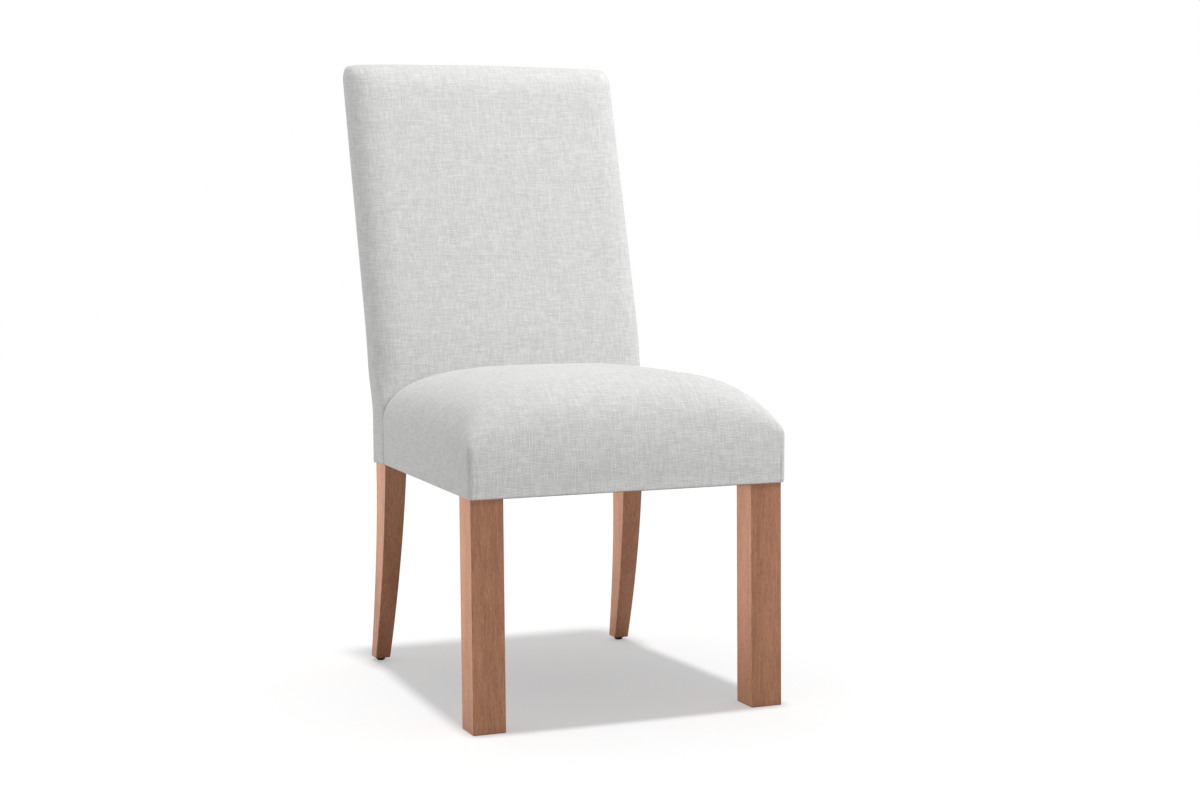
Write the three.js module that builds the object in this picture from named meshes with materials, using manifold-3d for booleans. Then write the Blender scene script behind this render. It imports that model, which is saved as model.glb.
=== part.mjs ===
// Parsons dining chair, in millimetres, +Z up, the seat faces -Y and X = 0 is its centre line.
// A hardwood frame carries webbing, foam and batting under one linen cloth. Square front legs
// stand under the seat, and each sabre rear leg runs on upwards as a raked back post.
import * as THREE from 'three';
import { mergeVertices } from 'three/addons/utils/BufferGeometryUtils.js';
import Module from 'manifold-3d';

const wasm = await Module();
wasm.setup();

// Clearance between pieces that touch, and how far a cut runs past what it cuts
const FIT = 0.3;
const OVERRUN = 8;

// Wooden seat frame: widths over the legs, depth from the front legs' face to the posts' rear
const FRONT_WIDTH = 470;
const REAR_WIDTH = 439;
const FRAME_DEPTH = 518;
const HEM_HEIGHT = 325.5;
const EDGE_EASE = 1.5;

// Front legs
const LEG_SECTION = 47.5;

// Rear posts: a sabre leg below the seat, a raked back post above it
const POST_WIDTH = 36;
const POST_DEPTH = 50;
const POST_TOP_DEPTH = 26.5;
const POST_HEIGHT = 938;
const FOOT_WIDTH = 24;
const FOOT_DEPTH = 26;
const FOOT_SWEEP = 46.6;
const REAR_KNEE_HEIGHT = 185;
const REAR_SWEEP_TOP = 300;
const FRONT_KNEE_HEIGHT = 170;
const FRONT_KNEE_SET = 9.6;
const SHOULDER_RISE = 106;
const RAKE_ANGLE = THREE.MathUtils.degToRad(15.6);
const BEND_SET = 6.7;
const BEND_RISE = 162.8;

// Rails and their tenons
const RAIL_THICKNESS = 22;
const RAIL_HEIGHT = 66;
const REAR_RAIL_SET = 12;
const TENON_THICKNESS = 10;
const TENON_SHOULDER = 12;
const LEG_TENON_LENGTH = 30;
const POST_TENON_LENGTH = 16;
const BACK_RAIL_DEPTH = 20;
const BACK_RAIL_HEIGHT = 60;
const BACK_TENON_SHOULDER = 9;
const STUFFING_RAIL_RISE = 77;

// Corner blocks and their screws
const BLOCK_EAR = 42;
const BLOCK_HEIGHT = 38;
const BLOCK_DROP = 8;
const SCREW_GRIP = 12;
const SCREW_LENGTH = 30;
const SCREW_RADIUS = 2;
const SCREW_HEAD_RADIUS = 4.2;
const SCREW_HEAD_DEPTH = 2.6;
const SCREW_POINT = 5;

// Nail-on glides under the rear legs
const GLIDE_RADIUS = 7;
const GLIDE_HEIGHT = 5.2;
const GLIDE_FLAT = 3;
const GLIDE_RIM = 1.2;
const GLIDE_NAIL_RADIUS = 1.3;
const GLIDE_NAIL_LENGTH = 17;
const GLIDE_NAIL_POINT = 4;

// Webbing and the cloths over it
const WEBBING_WIDTH = 50;
const WEBBING_THICKNESS = 1.6;
const WEBBING_END_SET = 2.5;
const WEBBING_EDGE_ROOM = 2;
const SEAT_STRAPS = 4;
const BACK_STRAPS = 4;
const BACK_STRAP_ROOM = 10;
const PLATFORM_CLOTH = 1;
const PLATFORM_SET = 3;
const BACK_CLOTH_SET = 6;

// Cloth, batting and board
const COVER_CLOTH = 1.5;
const SEAT_BATTING = 8;
const BACK_BATTING = 3;
const REAR_BOARD = 3;
const REAR_BATTING = 3.5;
const HEM_TURN = 25;
const DUST_CLOTH = 0.8;
const DUST_SET = 8;

// Seat upholstery: how far the cover stands off the wood, its rolls and its crown
const FRONT_STAND = 10;
const FRONT_SIDE_STAND = 4.4;
const REAR_SIDE_STAND = 3.4;
const SEAT_CORNER_RADIUS = 10;
const CROWN_RISE = 91.2;
const REAR_RISE = 78;
const CROWN_SETBACK = 230;
const SIDE_ROLL = 169;
const FRONT_ROLL = 108;
const ROLL_POWER = 2.33;
const HEM_DRAW = 0.8;
const SEAT_TUCK = 14;

// Back upholstery
const BACK_THICKNESS = 62;
const BACK_HEIGHT = 957;
const BACK_TOP_CROWN = 6;
const BACK_CROWN = 4;
const BACK_LOW_STAND = 4.5;
const BACK_HIGH_STAND = 9.3;
const BACK_LOW_CORNER = 6;
const BACK_FRONT_CORNER = 36;
const BACK_REAR_CORNER = 8;
const TOP_FRONT_ROLL = 26;
const TOP_SIDE_ROLL = 16;
const TOP_ROLL_HEIGHT = 26;
const REAR_SEAM_SET = 9;
const COVER_TUCK = 12;
const BACK_BATTING_RISE = 47;
const BACK_FOAM_RISE = 62;

// Heights and places that follow from the sizes above
const RAIL_BOTTOM = HEM_HEIGHT + COVER_CLOTH + FIT;
const RAIL_TOP = RAIL_BOTTOM + RAIL_HEIGHT;
const SEAT_EDGE = RAIL_TOP + FIT;
const POST_FRONT = FRAME_DEPTH - POST_DEPTH;
const POST_INNER = REAR_WIDTH / 2 - POST_WIDTH;
const LEG_INNER = FRONT_WIDTH / 2 - LEG_SECTION;
const UPPER_POST_FRONT = FRAME_DEPTH - POST_TOP_DEPTH;
const BEND_START = RAIL_TOP + BEND_SET;
const BEND_END = BEND_START + BEND_RISE;
const REAR_STAND = FIT + REAR_BOARD + FIT + REAR_BATTING + FIT + COVER_CLOTH;
const BACK_REAR = FRAME_DEPTH + REAR_STAND;
const BACK_FRONT = BACK_REAR - BACK_THICKNESS;
const BACK_WEBBING_FRONT = UPPER_POST_FRONT - FIT - WEBBING_THICKNESS;
const BACK_CLOTH_FRONT = BACK_WEBBING_FRONT - FIT - PLATFORM_CLOTH;
const BACK_BATTING_BOTTOM = RAIL_TOP + BACK_BATTING_RISE;
const BACK_FOAM_BOTTOM = RAIL_TOP + BACK_FOAM_RISE;
const STUFFING_RAIL_BOTTOM = RAIL_TOP + STUFFING_RAIL_RISE;
const CREST_BOTTOM = POST_HEIGHT - BACK_RAIL_HEIGHT;
const LOW_WEB = RAIL_TOP + FIT;
const HIGH_WEB = LOW_WEB + WEBBING_THICKNESS + FIT;
const SEAT_CLOTH_BOTTOM = HIGH_WEB + WEBBING_THICKNESS + FIT;
const SEAT_FOAM_BOTTOM = SEAT_CLOTH_BOTTOM + PLATFORM_CLOTH + FIT;

// Facet counts
const SWEEP_STEPS = 12;
const BEND_STEPS = 6;
const BODY_STEPS = 2;
const ROLL_STEPS = 5;
const CORNER_STEPS = 4;
const SPAN_STEPS = 6;
const HALF_COLUMNS = 10;
const NOSE_ROWS = 5;
const SEAT_ROWS = 10;
const NOSE_POWER = 2;
const ROW_POWER = 1.4;
const ROUND_SEGMENTS = 12;

// Finishes
const FINISHES = {
  wood: { color: 0x9a6a4b, roughness: 0.42, metalness: 0 },
  frame_wood: { color: 0xc9ab83, roughness: 0.7, metalness: 0 },
  linen: { color: 0xd8d8d6, roughness: 0.92, metalness: 0 },
  batting: { color: 0xf2f2ee, roughness: 1, metalness: 0 },
  foam: { color: 0xe9dfb9, roughness: 0.95, metalness: 0 },
  webbing: { color: 0x55504a, roughness: 0.85, metalness: 0 },
  platform: { color: 0xcfc7b8, roughness: 0.95, metalness: 0 },
  dust_cloth: { color: 0x1c1c1e, roughness: 0.95, metalness: 0 },
  board: { color: 0x8a6b4a, roughness: 0.8, metalness: 0 },
  steel: { color: 0xb9bcc0, roughness: 0.35, metalness: 1 },
  glide: { color: 0x18181a, roughness: 0.5, metalness: 0 },
};

const workshop = new THREE.Group();

function addPiece(name, geometry, finish, position, turn) {
  const mesh = new THREE.Mesh(geometry, new THREE.MeshStandardMaterial(FINISHES[finish]));
  mesh.name = name;
  if (position) mesh.position.copy(position);
  if (turn) mesh.rotation.copy(turn);
  workshop.add(mesh);
}

// Joining and cutting closed meshes
function solidOf(geometry) {
  const bare = geometry.clone();
  bare.deleteAttribute('normal');
  bare.deleteAttribute('uv');
  const merged = mergeVertices(bare);
  return new wasm.Manifold(new wasm.Mesh({
    numProp: 3,
    vertProperties: new Float32Array(merged.attributes.position.array),
    triVerts: new Uint32Array(merged.index.array),
  }));
}

function geometryOf(solid) {
  const mesh = solid.getMesh();
  const geometry = new THREE.BufferGeometry();
  geometry.setAttribute('position', new THREE.BufferAttribute(new Float32Array(mesh.vertProperties), 3));
  geometry.setIndex(new THREE.BufferAttribute(new Uint32Array(mesh.triVerts), 1));
  geometry.computeVertexNormals();
  return geometry;
}

function joined(geometries) {
  return geometryOf(geometries.map(solidOf).reduce((whole, part) => whole.add(part)));
}

function cutFrom(geometry, cutters) {
  return geometryOf(cutters.map(solidOf).reduce((whole, part) => whole.subtract(part), solidOf(geometry)));
}

function mirrored(geometry) {
  const copy = mergeVertices(geometry.clone()).scale(-1, 1, 1);
  const corners = copy.index.array;
  for (let i = 0; i < corners.length; i += 3) {
    [corners[i], corners[i + 1]] = [corners[i + 1], corners[i]];
  }
  return copy;
}

// Prisms along each axis, from an outline in the plane across it
function outlineShape(outline) {
  return new THREE.Shape(outline.map(([a, b]) => new THREE.Vector2(a, b)));
}

function extruded(outline, depth) {
  return new THREE.ExtrudeGeometry(outlineShape(outline), { depth, bevelEnabled: false });
}

function prismZ(outline, low, high) {
  return extruded(outline, high - low).translate(0, 0, low);
}

const TO_SIDE_VIEW = new THREE.Matrix4().makeBasis(
  new THREE.Vector3(0, 1, 0),
  new THREE.Vector3(0, 0, 1),
  new THREE.Vector3(1, 0, 0),
);

function prismX(outline, left, right) {
  return extruded(outline, right - left).applyMatrix4(TO_SIDE_VIEW).translate(left, 0, 0);
}

function boxBetween(low, high) {
  const size = new THREE.Vector3().subVectors(high, low);
  const centre = new THREE.Vector3().addVectors(low, high).multiplyScalar(1 / 2);
  return new THREE.BoxGeometry(size.x, size.y, size.z).translate(centre.x, centre.y, centre.z);
}

function rectangle(left, front, right, rear) {
  return [[left, front], [right, front], [right, rear], [left, rear]];
}

// The side line of the seat frame in plan, from the front leg to the rear post
function sideLine(y) {
  const share = (y - LEG_SECTION) / (POST_FRONT - LEG_SECTION);
  return THREE.MathUtils.lerp(FRONT_WIDTH, REAR_WIDTH, share) / 2;
}

function frameHalfWidth(y) {
  return sideLine(THREE.MathUtils.clamp(y, LEG_SECTION, POST_FRONT));
}

// How far the back leans rearwards at a height: upright, then a bend, then a straight rake
function lean(z) {
  const slope = Math.tan(RAKE_ANGLE);
  if (z <= BEND_START) return 0;
  if (z >= BEND_END) return slope * (z - BEND_START - BEND_RISE / 2);
  return slope * (z - BEND_START) ** 2 / (2 * BEND_RISE);
}

// Heights at which every piece of the back has an edge, so that neighbours stay parallel
function bendHeights(low, high) {
  const heights = [];
  for (let i = 0; i <= BEND_STEPS; i += 1) {
    const height = BEND_START + BEND_RISE * i / BEND_STEPS;
    if (height > low + FIT && height < high - FIT) heights.push(height);
  }
  return heights;
}

// Front face of the post before it leans: deep at the seat, thinner above the shoulder
function uprightPostFront(z) {
  const share = THREE.MathUtils.smoothstep(z, RAIL_TOP, RAIL_TOP + SHOULDER_RISE);
  return THREE.MathUtils.lerp(POST_FRONT, UPPER_POST_FRONT, share);
}

// A strip of the back seen from the side: front and rear faces given before they lean
function leaningOutline(frontAt, rearAt, low, high) {
  const heights = [low, ...bendHeights(low, high), high];
  const rearSide = heights.map((z) => [rearAt(z) + lean(z), z]);
  const frontSide = heights.map((z) => [frontAt(z) + lean(z), z]).reverse();
  return [...rearSide, ...frontSide];
}

function leaningSlab(front, thickness, low, high, halfWidth) {
  const outline = leaningOutline(() => front, () => front + thickness, low, high);
  return prismX(outline, -halfWidth, halfWidth);
}

// Tenons, also used a fit larger as the mortises that receive them
function frontTenon(gap) {
  const middle = RAIL_THICKNESS / 2;
  const half = TENON_THICKNESS / 2 + gap;
  return boxBetween(
    new THREE.Vector3(LEG_INNER - OVERRUN, middle - half, RAIL_BOTTOM + TENON_SHOULDER - gap),
    new THREE.Vector3(LEG_INNER + LEG_TENON_LENGTH + gap, middle + half, RAIL_TOP - TENON_SHOULDER + gap),
  );
}

function rearTenon(gap) {
  const middle = POST_FRONT + REAR_RAIL_SET + RAIL_THICKNESS / 2;
  const half = TENON_THICKNESS / 2 + gap;
  return boxBetween(
    new THREE.Vector3(POST_INNER - OVERRUN, middle - half, RAIL_BOTTOM + TENON_SHOULDER - gap),
    new THREE.Vector3(POST_INNER + POST_TENON_LENGTH + gap, middle + half, RAIL_TOP - TENON_SHOULDER + gap),
  );
}

function sideTenon(from, to, gap) {
  const half = TENON_THICKNESS / 2 + gap;
  const middleAt = (y) => sideLine(y) - RAIL_THICKNESS / 2;
  const outline = [
    [middleAt(from) - half, from],
    [middleAt(from) + half, from],
    [middleAt(to) + half, to],
    [middleAt(to) - half, to],
  ];
  return prismZ(outline, RAIL_BOTTOM + TENON_SHOULDER - gap, RAIL_TOP - TENON_SHOULDER + gap);
}

function sideFrontTenon(gap) {
  return sideTenon(LEG_SECTION - LEG_TENON_LENGTH - gap, LEG_SECTION + OVERRUN, gap);
}

function sideRearTenon(gap) {
  return sideTenon(POST_FRONT - OVERRUN, POST_FRONT + LEG_TENON_LENGTH + gap, gap);
}

function backRailTenon(low, gap) {
  const front = UPPER_POST_FRONT + (BACK_RAIL_DEPTH - TENON_THICKNESS) / 2 - gap;
  const rear = front + TENON_THICKNESS + 2 * gap;
  const bottom = low + BACK_TENON_SHOULDER - gap;
  const top = low + BACK_RAIL_HEIGHT - BACK_TENON_SHOULDER + gap;
  const outline = [
    [front + lean(bottom), bottom],
    [rear + lean(bottom), bottom],
    [rear + lean(top), top],
    [front + lean(top), top],
  ];
  return prismX(outline, POST_INNER - OVERRUN, POST_INNER + POST_TENON_LENGTH + gap);
}

// Square front leg with eased edges, mortised for the front and side rails
function frontLegRight() {
  const square = rectangle(LEG_INNER, 0, FRONT_WIDTH / 2, LEG_SECTION);
  const post = new THREE.ExtrudeGeometry(outlineShape(square), {
    depth: RAIL_TOP - 2 * EDGE_EASE,
    bevelThickness: EDGE_EASE,
    bevelSize: EDGE_EASE,
    bevelOffset: -EDGE_EASE,
    bevelSegments: 2,
  });
  post.translate(0, 0, EDGE_EASE);
  return cutFrom(post, [frontTenon(FIT), sideFrontTenon(FIT)]);
}

// Side view of the rear post: sabre leg, upright seat joint, shoulder, bend and raked top
function rearPostOutline() {
  const foot = GLIDE_HEIGHT + FIT;
  const footRear = FRAME_DEPTH + FOOT_SWEEP;
  const rearSweep = new THREE.QuadraticBezierCurve(
    new THREE.Vector2(footRear, foot),
    new THREE.Vector2(FRAME_DEPTH, REAR_KNEE_HEIGHT),
    new THREE.Vector2(FRAME_DEPTH, REAR_SWEEP_TOP),
  );
  const frontSweep = new THREE.QuadraticBezierCurve(
    new THREE.Vector2(POST_FRONT, HEM_HEIGHT),
    new THREE.Vector2(POST_FRONT + FRONT_KNEE_SET, FRONT_KNEE_HEIGHT),
    new THREE.Vector2(footRear - FOOT_DEPTH, foot),
  );
  const asPairs = (curve) => curve.getPoints(SWEEP_STEPS).map((point) => [point.x, point.y]);
  const back = leaningOutline(uprightPostFront, () => FRAME_DEPTH, RAIL_TOP, POST_HEIGHT);
  return [...asPairs(rearSweep), ...back, ...asPairs(frontSweep)];
}

// Extruded across its width, then its inner face tapered towards the foot
function rearPostRight() {
  const post = new THREE.ExtrudeGeometry(outlineShape(rearPostOutline()), {
    depth: POST_WIDTH - 2 * EDGE_EASE,
    bevelThickness: EDGE_EASE,
    bevelSize: EDGE_EASE,
    bevelOffset: -EDGE_EASE,
    bevelSegments: 1,
  });
  post.applyMatrix4(TO_SIDE_VIEW).translate(POST_INNER + EDGE_EASE, 0, 0);
  const outer = REAR_WIDTH / 2;
  const places = post.attributes.position;
  for (let i = 0; i < places.count; i += 1) {
    const share = THREE.MathUtils.clamp(places.getZ(i) / HEM_HEIGHT, 0, 1);
    const width = THREE.MathUtils.lerp(FOOT_WIDTH, POST_WIDTH, share);
    places.setX(i, outer - (outer - places.getX(i)) * width / POST_WIDTH);
  }
  return cutFrom(post, [
    sideRearTenon(FIT),
    rearTenon(FIT),
    backRailTenon(STUFFING_RAIL_BOTTOM, FIT),
    backRailTenon(CREST_BOTTOM, FIT),
    glideNailHole(),
  ]);
}

// Nail-on glide: a low dome with a small flat, and a nail up into the leg
function glidePlace() {
  return new THREE.Vector3(
    REAR_WIDTH / 2 - FOOT_WIDTH / 2,
    FRAME_DEPTH + FOOT_SWEEP - FOOT_DEPTH / 2,
    0,
  );
}

function lathed(profile) {
  const points = profile.map(([radius, height]) => new THREE.Vector2(radius, height));
  return new THREE.LatheGeometry(points, ROUND_SEGMENTS);
}

function glide() {
  const nailTop = GLIDE_HEIGHT + GLIDE_NAIL_LENGTH;
  return lathed([
    [0, 0],
    [GLIDE_FLAT, 0],
    [(GLIDE_FLAT + GLIDE_RADIUS) / 2, GLIDE_RIM],
    [GLIDE_RADIUS, GLIDE_HEIGHT - GLIDE_RIM],
    [GLIDE_RADIUS, GLIDE_HEIGHT],
    [GLIDE_NAIL_RADIUS, GLIDE_HEIGHT],
    [GLIDE_NAIL_RADIUS, nailTop - GLIDE_NAIL_POINT],
    [0, nailTop],
  ]).rotateX(Math.PI / 2);
}

function glideNailHole() {
  const place = glidePlace();
  const hole = new THREE.CylinderGeometry(
    GLIDE_NAIL_RADIUS + FIT,
    GLIDE_NAIL_RADIUS + FIT,
    GLIDE_NAIL_LENGTH + OVERRUN,
    ROUND_SEGMENTS,
  ).rotateX(Math.PI / 2);
  const top = GLIDE_HEIGHT + GLIDE_NAIL_LENGTH + FIT;
  return hole.translate(place.x, place.y, top - (GLIDE_NAIL_LENGTH + OVERRUN) / 2);
}

// Wood screws: each is listed with its head's place and the way that it points, in plan
function screwFlank(gap) {
  return [
    [0, -SCREW_LENGTH - gap],
    [SCREW_RADIUS + gap, -SCREW_LENGTH + SCREW_POINT - gap],
    [SCREW_RADIUS + gap, -SCREW_HEAD_DEPTH - gap],
    [SCREW_HEAD_RADIUS + gap, 0],
  ];
}

function screwHole(screw) {
  const hole = lathed([...screwFlank(FIT), [SCREW_HEAD_RADIUS + FIT, BLOCK_EAR], [0, BLOCK_EAR]]);
  hole.rotateZ(screw.turn);
  return hole.translate(screw.place.x, screw.place.y, screw.place.z);
}

// A corner's two block screws: one square into the cross rail, one into the side rail
function cornerScrews(corner) {
  const height = RAIL_TOP - BLOCK_DROP - BLOCK_HEIGHT / 2;
  const sideY = corner.legY + corner.inward * (FIT + BLOCK_EAR / 2);
  const sideX = frameHalfWidth(sideY) - RAIL_THICKNESS - FIT - SCREW_GRIP;
  const crossX = corner.legX - FIT - BLOCK_EAR / 2;
  const crossY = corner.railY + corner.inward * (FIT + SCREW_GRIP);
  return {
    cross: {
      place: new THREE.Vector3(crossX, crossY, height),
      turn: corner.inward > 0 ? 0 : Math.PI,
    },
    side: { place: new THREE.Vector3(sideX, sideY, height), turn: Math.PI / 2 },
  };
}

const FRONT_CORNER = { legX: LEG_INNER, legY: LEG_SECTION, railY: RAIL_THICKNESS, inward: 1 };
const REAR_CORNER = { legX: POST_INNER, legY: POST_FRONT, railY: POST_FRONT + REAR_RAIL_SET, inward: -1 };
const FRONT_SCREWS = cornerScrews(FRONT_CORNER);
const REAR_SCREWS = cornerScrews(REAR_CORNER);

// Corner block notched round the leg, drilled for its screws
function cornerBlock(corner, screws) {
  const legX = corner.legX - FIT;
  const legY = corner.legY + corner.inward * FIT;
  const railY = corner.railY + corner.inward * FIT;
  const earY = legY + corner.inward * BLOCK_EAR;
  const sideX = (y) => frameHalfWidth(y) - RAIL_THICKNESS - FIT;
  const outline = [
    [legX, railY],
    [legX - BLOCK_EAR, railY],
    [sideX(earY), earY],
    [sideX(legY), legY],
    [legX, legY],
  ];
  const top = RAIL_TOP - BLOCK_DROP;
  const block = prismZ(outline, top - BLOCK_HEIGHT, top);
  return cutFrom(block, [screwHole(screws.cross), screwHole(screws.side)]);
}

// Seat rails, with their screw pilots
function crossRail(halfLength, front, tenon, screws) {
  const bar = boxBetween(
    new THREE.Vector3(-halfLength + FIT, front, RAIL_BOTTOM),
    new THREE.Vector3(halfLength - FIT, front + RAIL_THICKNESS, RAIL_TOP),
  );
  const tenoned = joined([bar, tenon, mirrored(tenon)]);
  const pilot = screwHole(screws.cross);
  return cutFrom(tenoned, [pilot, mirrored(pilot)]);
}

function sideRailRight() {
  const from = LEG_SECTION + FIT;
  const to = POST_FRONT - FIT;
  const outline = [
    [sideLine(from) - RAIL_THICKNESS, from],
    [sideLine(from), from],
    [sideLine(to), to],
    [sideLine(to) - RAIL_THICKNESS, to],
  ];
  const bar = prismZ(outline, RAIL_BOTTOM, RAIL_TOP);
  const tenoned = joined([bar, sideFrontTenon(0), sideRearTenon(0)]);
  return cutFrom(tenoned, [screwHole(FRONT_SCREWS.side), screwHole(REAR_SCREWS.side)]);
}

// Crest rail and stuffing rail, tenoned between the posts and leaning with them
function backRail(low) {
  const halfLength = POST_INNER - FIT;
  const bar = leaningSlab(UPPER_POST_FRONT, BACK_RAIL_DEPTH, low, low + BACK_RAIL_HEIGHT, halfLength);
  const tenon = backRailTenon(low, 0);
  return joined([bar, tenon, mirrored(tenon)]);
}

// One strap of the woven seat webbing: over or under each strap that crosses it
function wovenStrapProfile(start, end, crossings, startsOver) {
  const half = WEBBING_WIDTH / 2 + WEBBING_EDGE_ROOM;
  const path = [[start, LOW_WEB]];
  crossings.forEach((crossing, i) => {
    const level = (i % 2 === 0) === startsOver ? HIGH_WEB : LOW_WEB;
    path.push([crossing - half, level], [crossing + half, level]);
  });
  path.push([end, LOW_WEB]);
  const above = path.map(([along, z]) => [along, z + WEBBING_THICKNESS]).reverse();
  return [...path, ...above];
}

function strapCentres(from, to, count) {
  const pitch = (to - from) / count;
  return Array.from({ length: count }, (unused, i) => from + pitch * (i + 1 / 2));
}

const LONG_HALF_SPAN = REAR_WIDTH / 2 - RAIL_THICKNESS;
const LONG_CENTRES = strapCentres(-LONG_HALF_SPAN, LONG_HALF_SPAN, SEAT_STRAPS);
const CROSS_CENTRES = strapCentres(RAIL_THICKNESS, POST_FRONT + REAR_RAIL_SET, SEAT_STRAPS);
const REAR_RAIL_END = POST_FRONT + REAR_RAIL_SET + RAIL_THICKNESS;

function longStrap(centre, startsOver) {
  const rearEnd = REAR_RAIL_END - WEBBING_END_SET;
  const profile = wovenStrapProfile(WEBBING_END_SET, rearEnd, CROSS_CENTRES, startsOver);
  return prismX(profile, centre - WEBBING_WIDTH / 2, centre + WEBBING_WIDTH / 2);
}

function crossStrap(centre, startsOver) {
  const end = frameHalfWidth(centre + WEBBING_WIDTH / 2) - WEBBING_END_SET;
  const profile = wovenStrapProfile(-end, end, LONG_CENTRES, startsOver);
  const strap = extruded(profile, WEBBING_WIDTH).rotateX(Math.PI / 2);
  return strap.translate(0, centre + WEBBING_WIDTH / 2, 0);
}

function seatPlatformCloth() {
  const postX = POST_INNER - FIT;
  const front = [frameHalfWidth(0) - PLATFORM_SET, PLATFORM_SET];
  const legEnd = [frameHalfWidth(LEG_SECTION) - PLATFORM_SET, LEG_SECTION];
  const postEnd = [frameHalfWidth(POST_FRONT) - PLATFORM_SET, POST_FRONT - FIT];
  const notch = [postX, POST_FRONT - FIT];
  const rear = [postX, REAR_RAIL_END - PLATFORM_SET];
  const right = [front, legEnd, postEnd, notch, rear];
  const left = right.map(([x, y]) => [-x, y]).reverse();
  return prismZ([...right, ...left], SEAT_CLOTH_BOTTOM, SEAT_CLOTH_BOTTOM + PLATFORM_CLOTH);
}

// Seat form. The cover and the batting stand off the frame's side line, the foam follows the wood
function coverHalfWidth(y) {
  const share = (y + FRONT_STAND) / (POST_FRONT + FRONT_STAND);
  return sideLine(y) + THREE.MathUtils.lerp(FRONT_SIDE_STAND, REAR_SIDE_STAND, share);
}

function coverPlan(inset) {
  return {
    front: -FRONT_STAND + inset,
    halfWidth: (y) => coverHalfWidth(y) - inset,
    corner: Math.max(0, SEAT_CORNER_RADIUS - inset),
    drop: inset,
    draw: HEM_DRAW,
  };
}

function corePlan(gap) {
  return {
    front: -gap,
    halfWidth: (y) => frameHalfWidth(y) + gap,
    corner: 0,
    drop: COVER_CLOTH + FIT + SEAT_BATTING + FIT - gap,
    draw: 0,
  };
}

// Rise of the seat above its edge: a full roll at the front and sides, a slight fall to the rear
function rollShare(distance, roll) {
  const run = THREE.MathUtils.clamp(distance / roll, 0, 1);
  return (1 - (1 - run) ** ROLL_POWER) ** (1 / ROLL_POWER);
}

function seatTop(plan, x, y) {
  const fromSide = plan.halfWidth(y) - Math.abs(x);
  const sideRoll = SIDE_ROLL - (coverHalfWidth(y) - plan.halfWidth(y));
  const frontRoll = FRONT_ROLL - (plan.front + FRONT_STAND);
  const behindCrown = Math.max(0, y - CROWN_SETBACK) / (POST_FRONT - CROWN_SETBACK);
  const rise = CROWN_RISE - (CROWN_RISE - REAR_RISE) * behindCrown ** 2 - plan.drop;
  return SEAT_EDGE + rise * rollShare(fromSide, sideRoll) * rollShare(y - plan.front, frontRoll);
}

function seatRows(plan) {
  const rows = [];
  for (let i = 0; i < NOSE_ROWS; i += 1) {
    rows.push(THREE.MathUtils.lerp(plan.front, LEG_SECTION, (i / NOSE_ROWS) ** NOSE_POWER));
  }
  for (let i = 0; i <= SEAT_ROWS; i += 1) {
    rows.push(THREE.MathUtils.lerp(LEG_SECTION, POST_FRONT + SEAT_TUCK, (i / SEAT_ROWS) ** ROW_POWER));
  }
  return rows;
}

function seatForm(plan, bottom) {
  const rows = seatRows(plan);
  const columns = 2 * HALF_COLUMNS;
  const places = [];
  rows.forEach((y) => {
    const intoCorner = Math.max(0, plan.corner - (y - plan.front));
    const rounding = plan.corner - Math.sqrt(plan.corner ** 2 - intoCorner ** 2);
    for (let i = 0; i <= columns; i += 1) {
      const acrossShare = Math.sin((i / HALF_COLUMNS - 1) * Math.PI / 2);
      const x = acrossShare * (plan.halfWidth(y) - rounding);
      const atEdge = i === 0 || i === columns || y === rows[0];
      places.push([x, y, atEdge ? SEAT_EDGE : seatTop(plan, x, y)]);
    }
  });
  const at = (row, column) => row * (columns + 1) + column;
  const last = rows.length - 1;
  const faces = [];
  for (let row = 0; row < last; row += 1) {
    for (let column = 0; column < columns; column += 1) {
      const [a, b] = [at(row, column), at(row, column + 1)];
      const [c, d] = [at(row + 1, column + 1), at(row + 1, column)];
      const towardsCorner = (row * 2 < last) === (column < HALF_COLUMNS);
      faces.push(...(towardsCorner ? [a, b, c, a, c, d] : [a, b, d, b, c, d]));
    }
  }
  const rim = [];
  for (let column = 0; column < columns; column += 1) rim.push(at(0, column));
  for (let row = 0; row < last; row += 1) rim.push(at(row, columns));
  for (let column = columns; column > 0; column -= 1) rim.push(at(last, column));
  for (let row = last; row > 0; row -= 1) rim.push(at(row, 0));
  const hem = rim.map((index) => {
    const [x, y] = places[index];
    const depth = rows[last] - plan.front;
    const hemY = rows[last] - (rows[last] - y) * (depth - plan.draw) / depth;
    places.push([x - Math.sign(x) * plan.draw, hemY, bottom]);
    return places.length - 1;
  });
  rim.forEach((top, i) => {
    const next = (i + 1) % rim.length;
    faces.push(top, hem[i], hem[next], top, hem[next], rim[next]);
  });
  closeWithFan(places, faces, hem.slice().reverse(), bottom);
  return meshOf(places, faces);
}

// Closes a ring, counter-clockwise from outside, with triangles round a point at its middle
function closeWithFan(places, faces, ring, height) {
  const depths = ring.map((index) => places[index][1]);
  places.push([0, (Math.min(...depths) + Math.max(...depths)) / 2, height]);
  const middle = places.length - 1;
  ring.forEach((index, i) => faces.push(middle, index, ring[(i + 1) % ring.length]));
}

function meshOf(places, faces) {
  const geometry = new THREE.BufferGeometry();
  geometry.setAttribute('position', new THREE.Float32BufferAttribute(places.flat(), 3));
  geometry.setIndex(faces);
  return geometry;
}

// Back form: level rings from the hem to the top roll, leaning rearwards
function coverSide(inset) {
  return { front: inset, rear: inset, top: inset, side: (stand) => stand - inset };
}

function coreSide(gap) {
  const stack = COVER_CLOTH + FIT + BACK_BATTING + FIT;
  return { front: stack - gap, rear: REAR_STAND - gap, top: stack - gap, side: () => gap };
}

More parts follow.
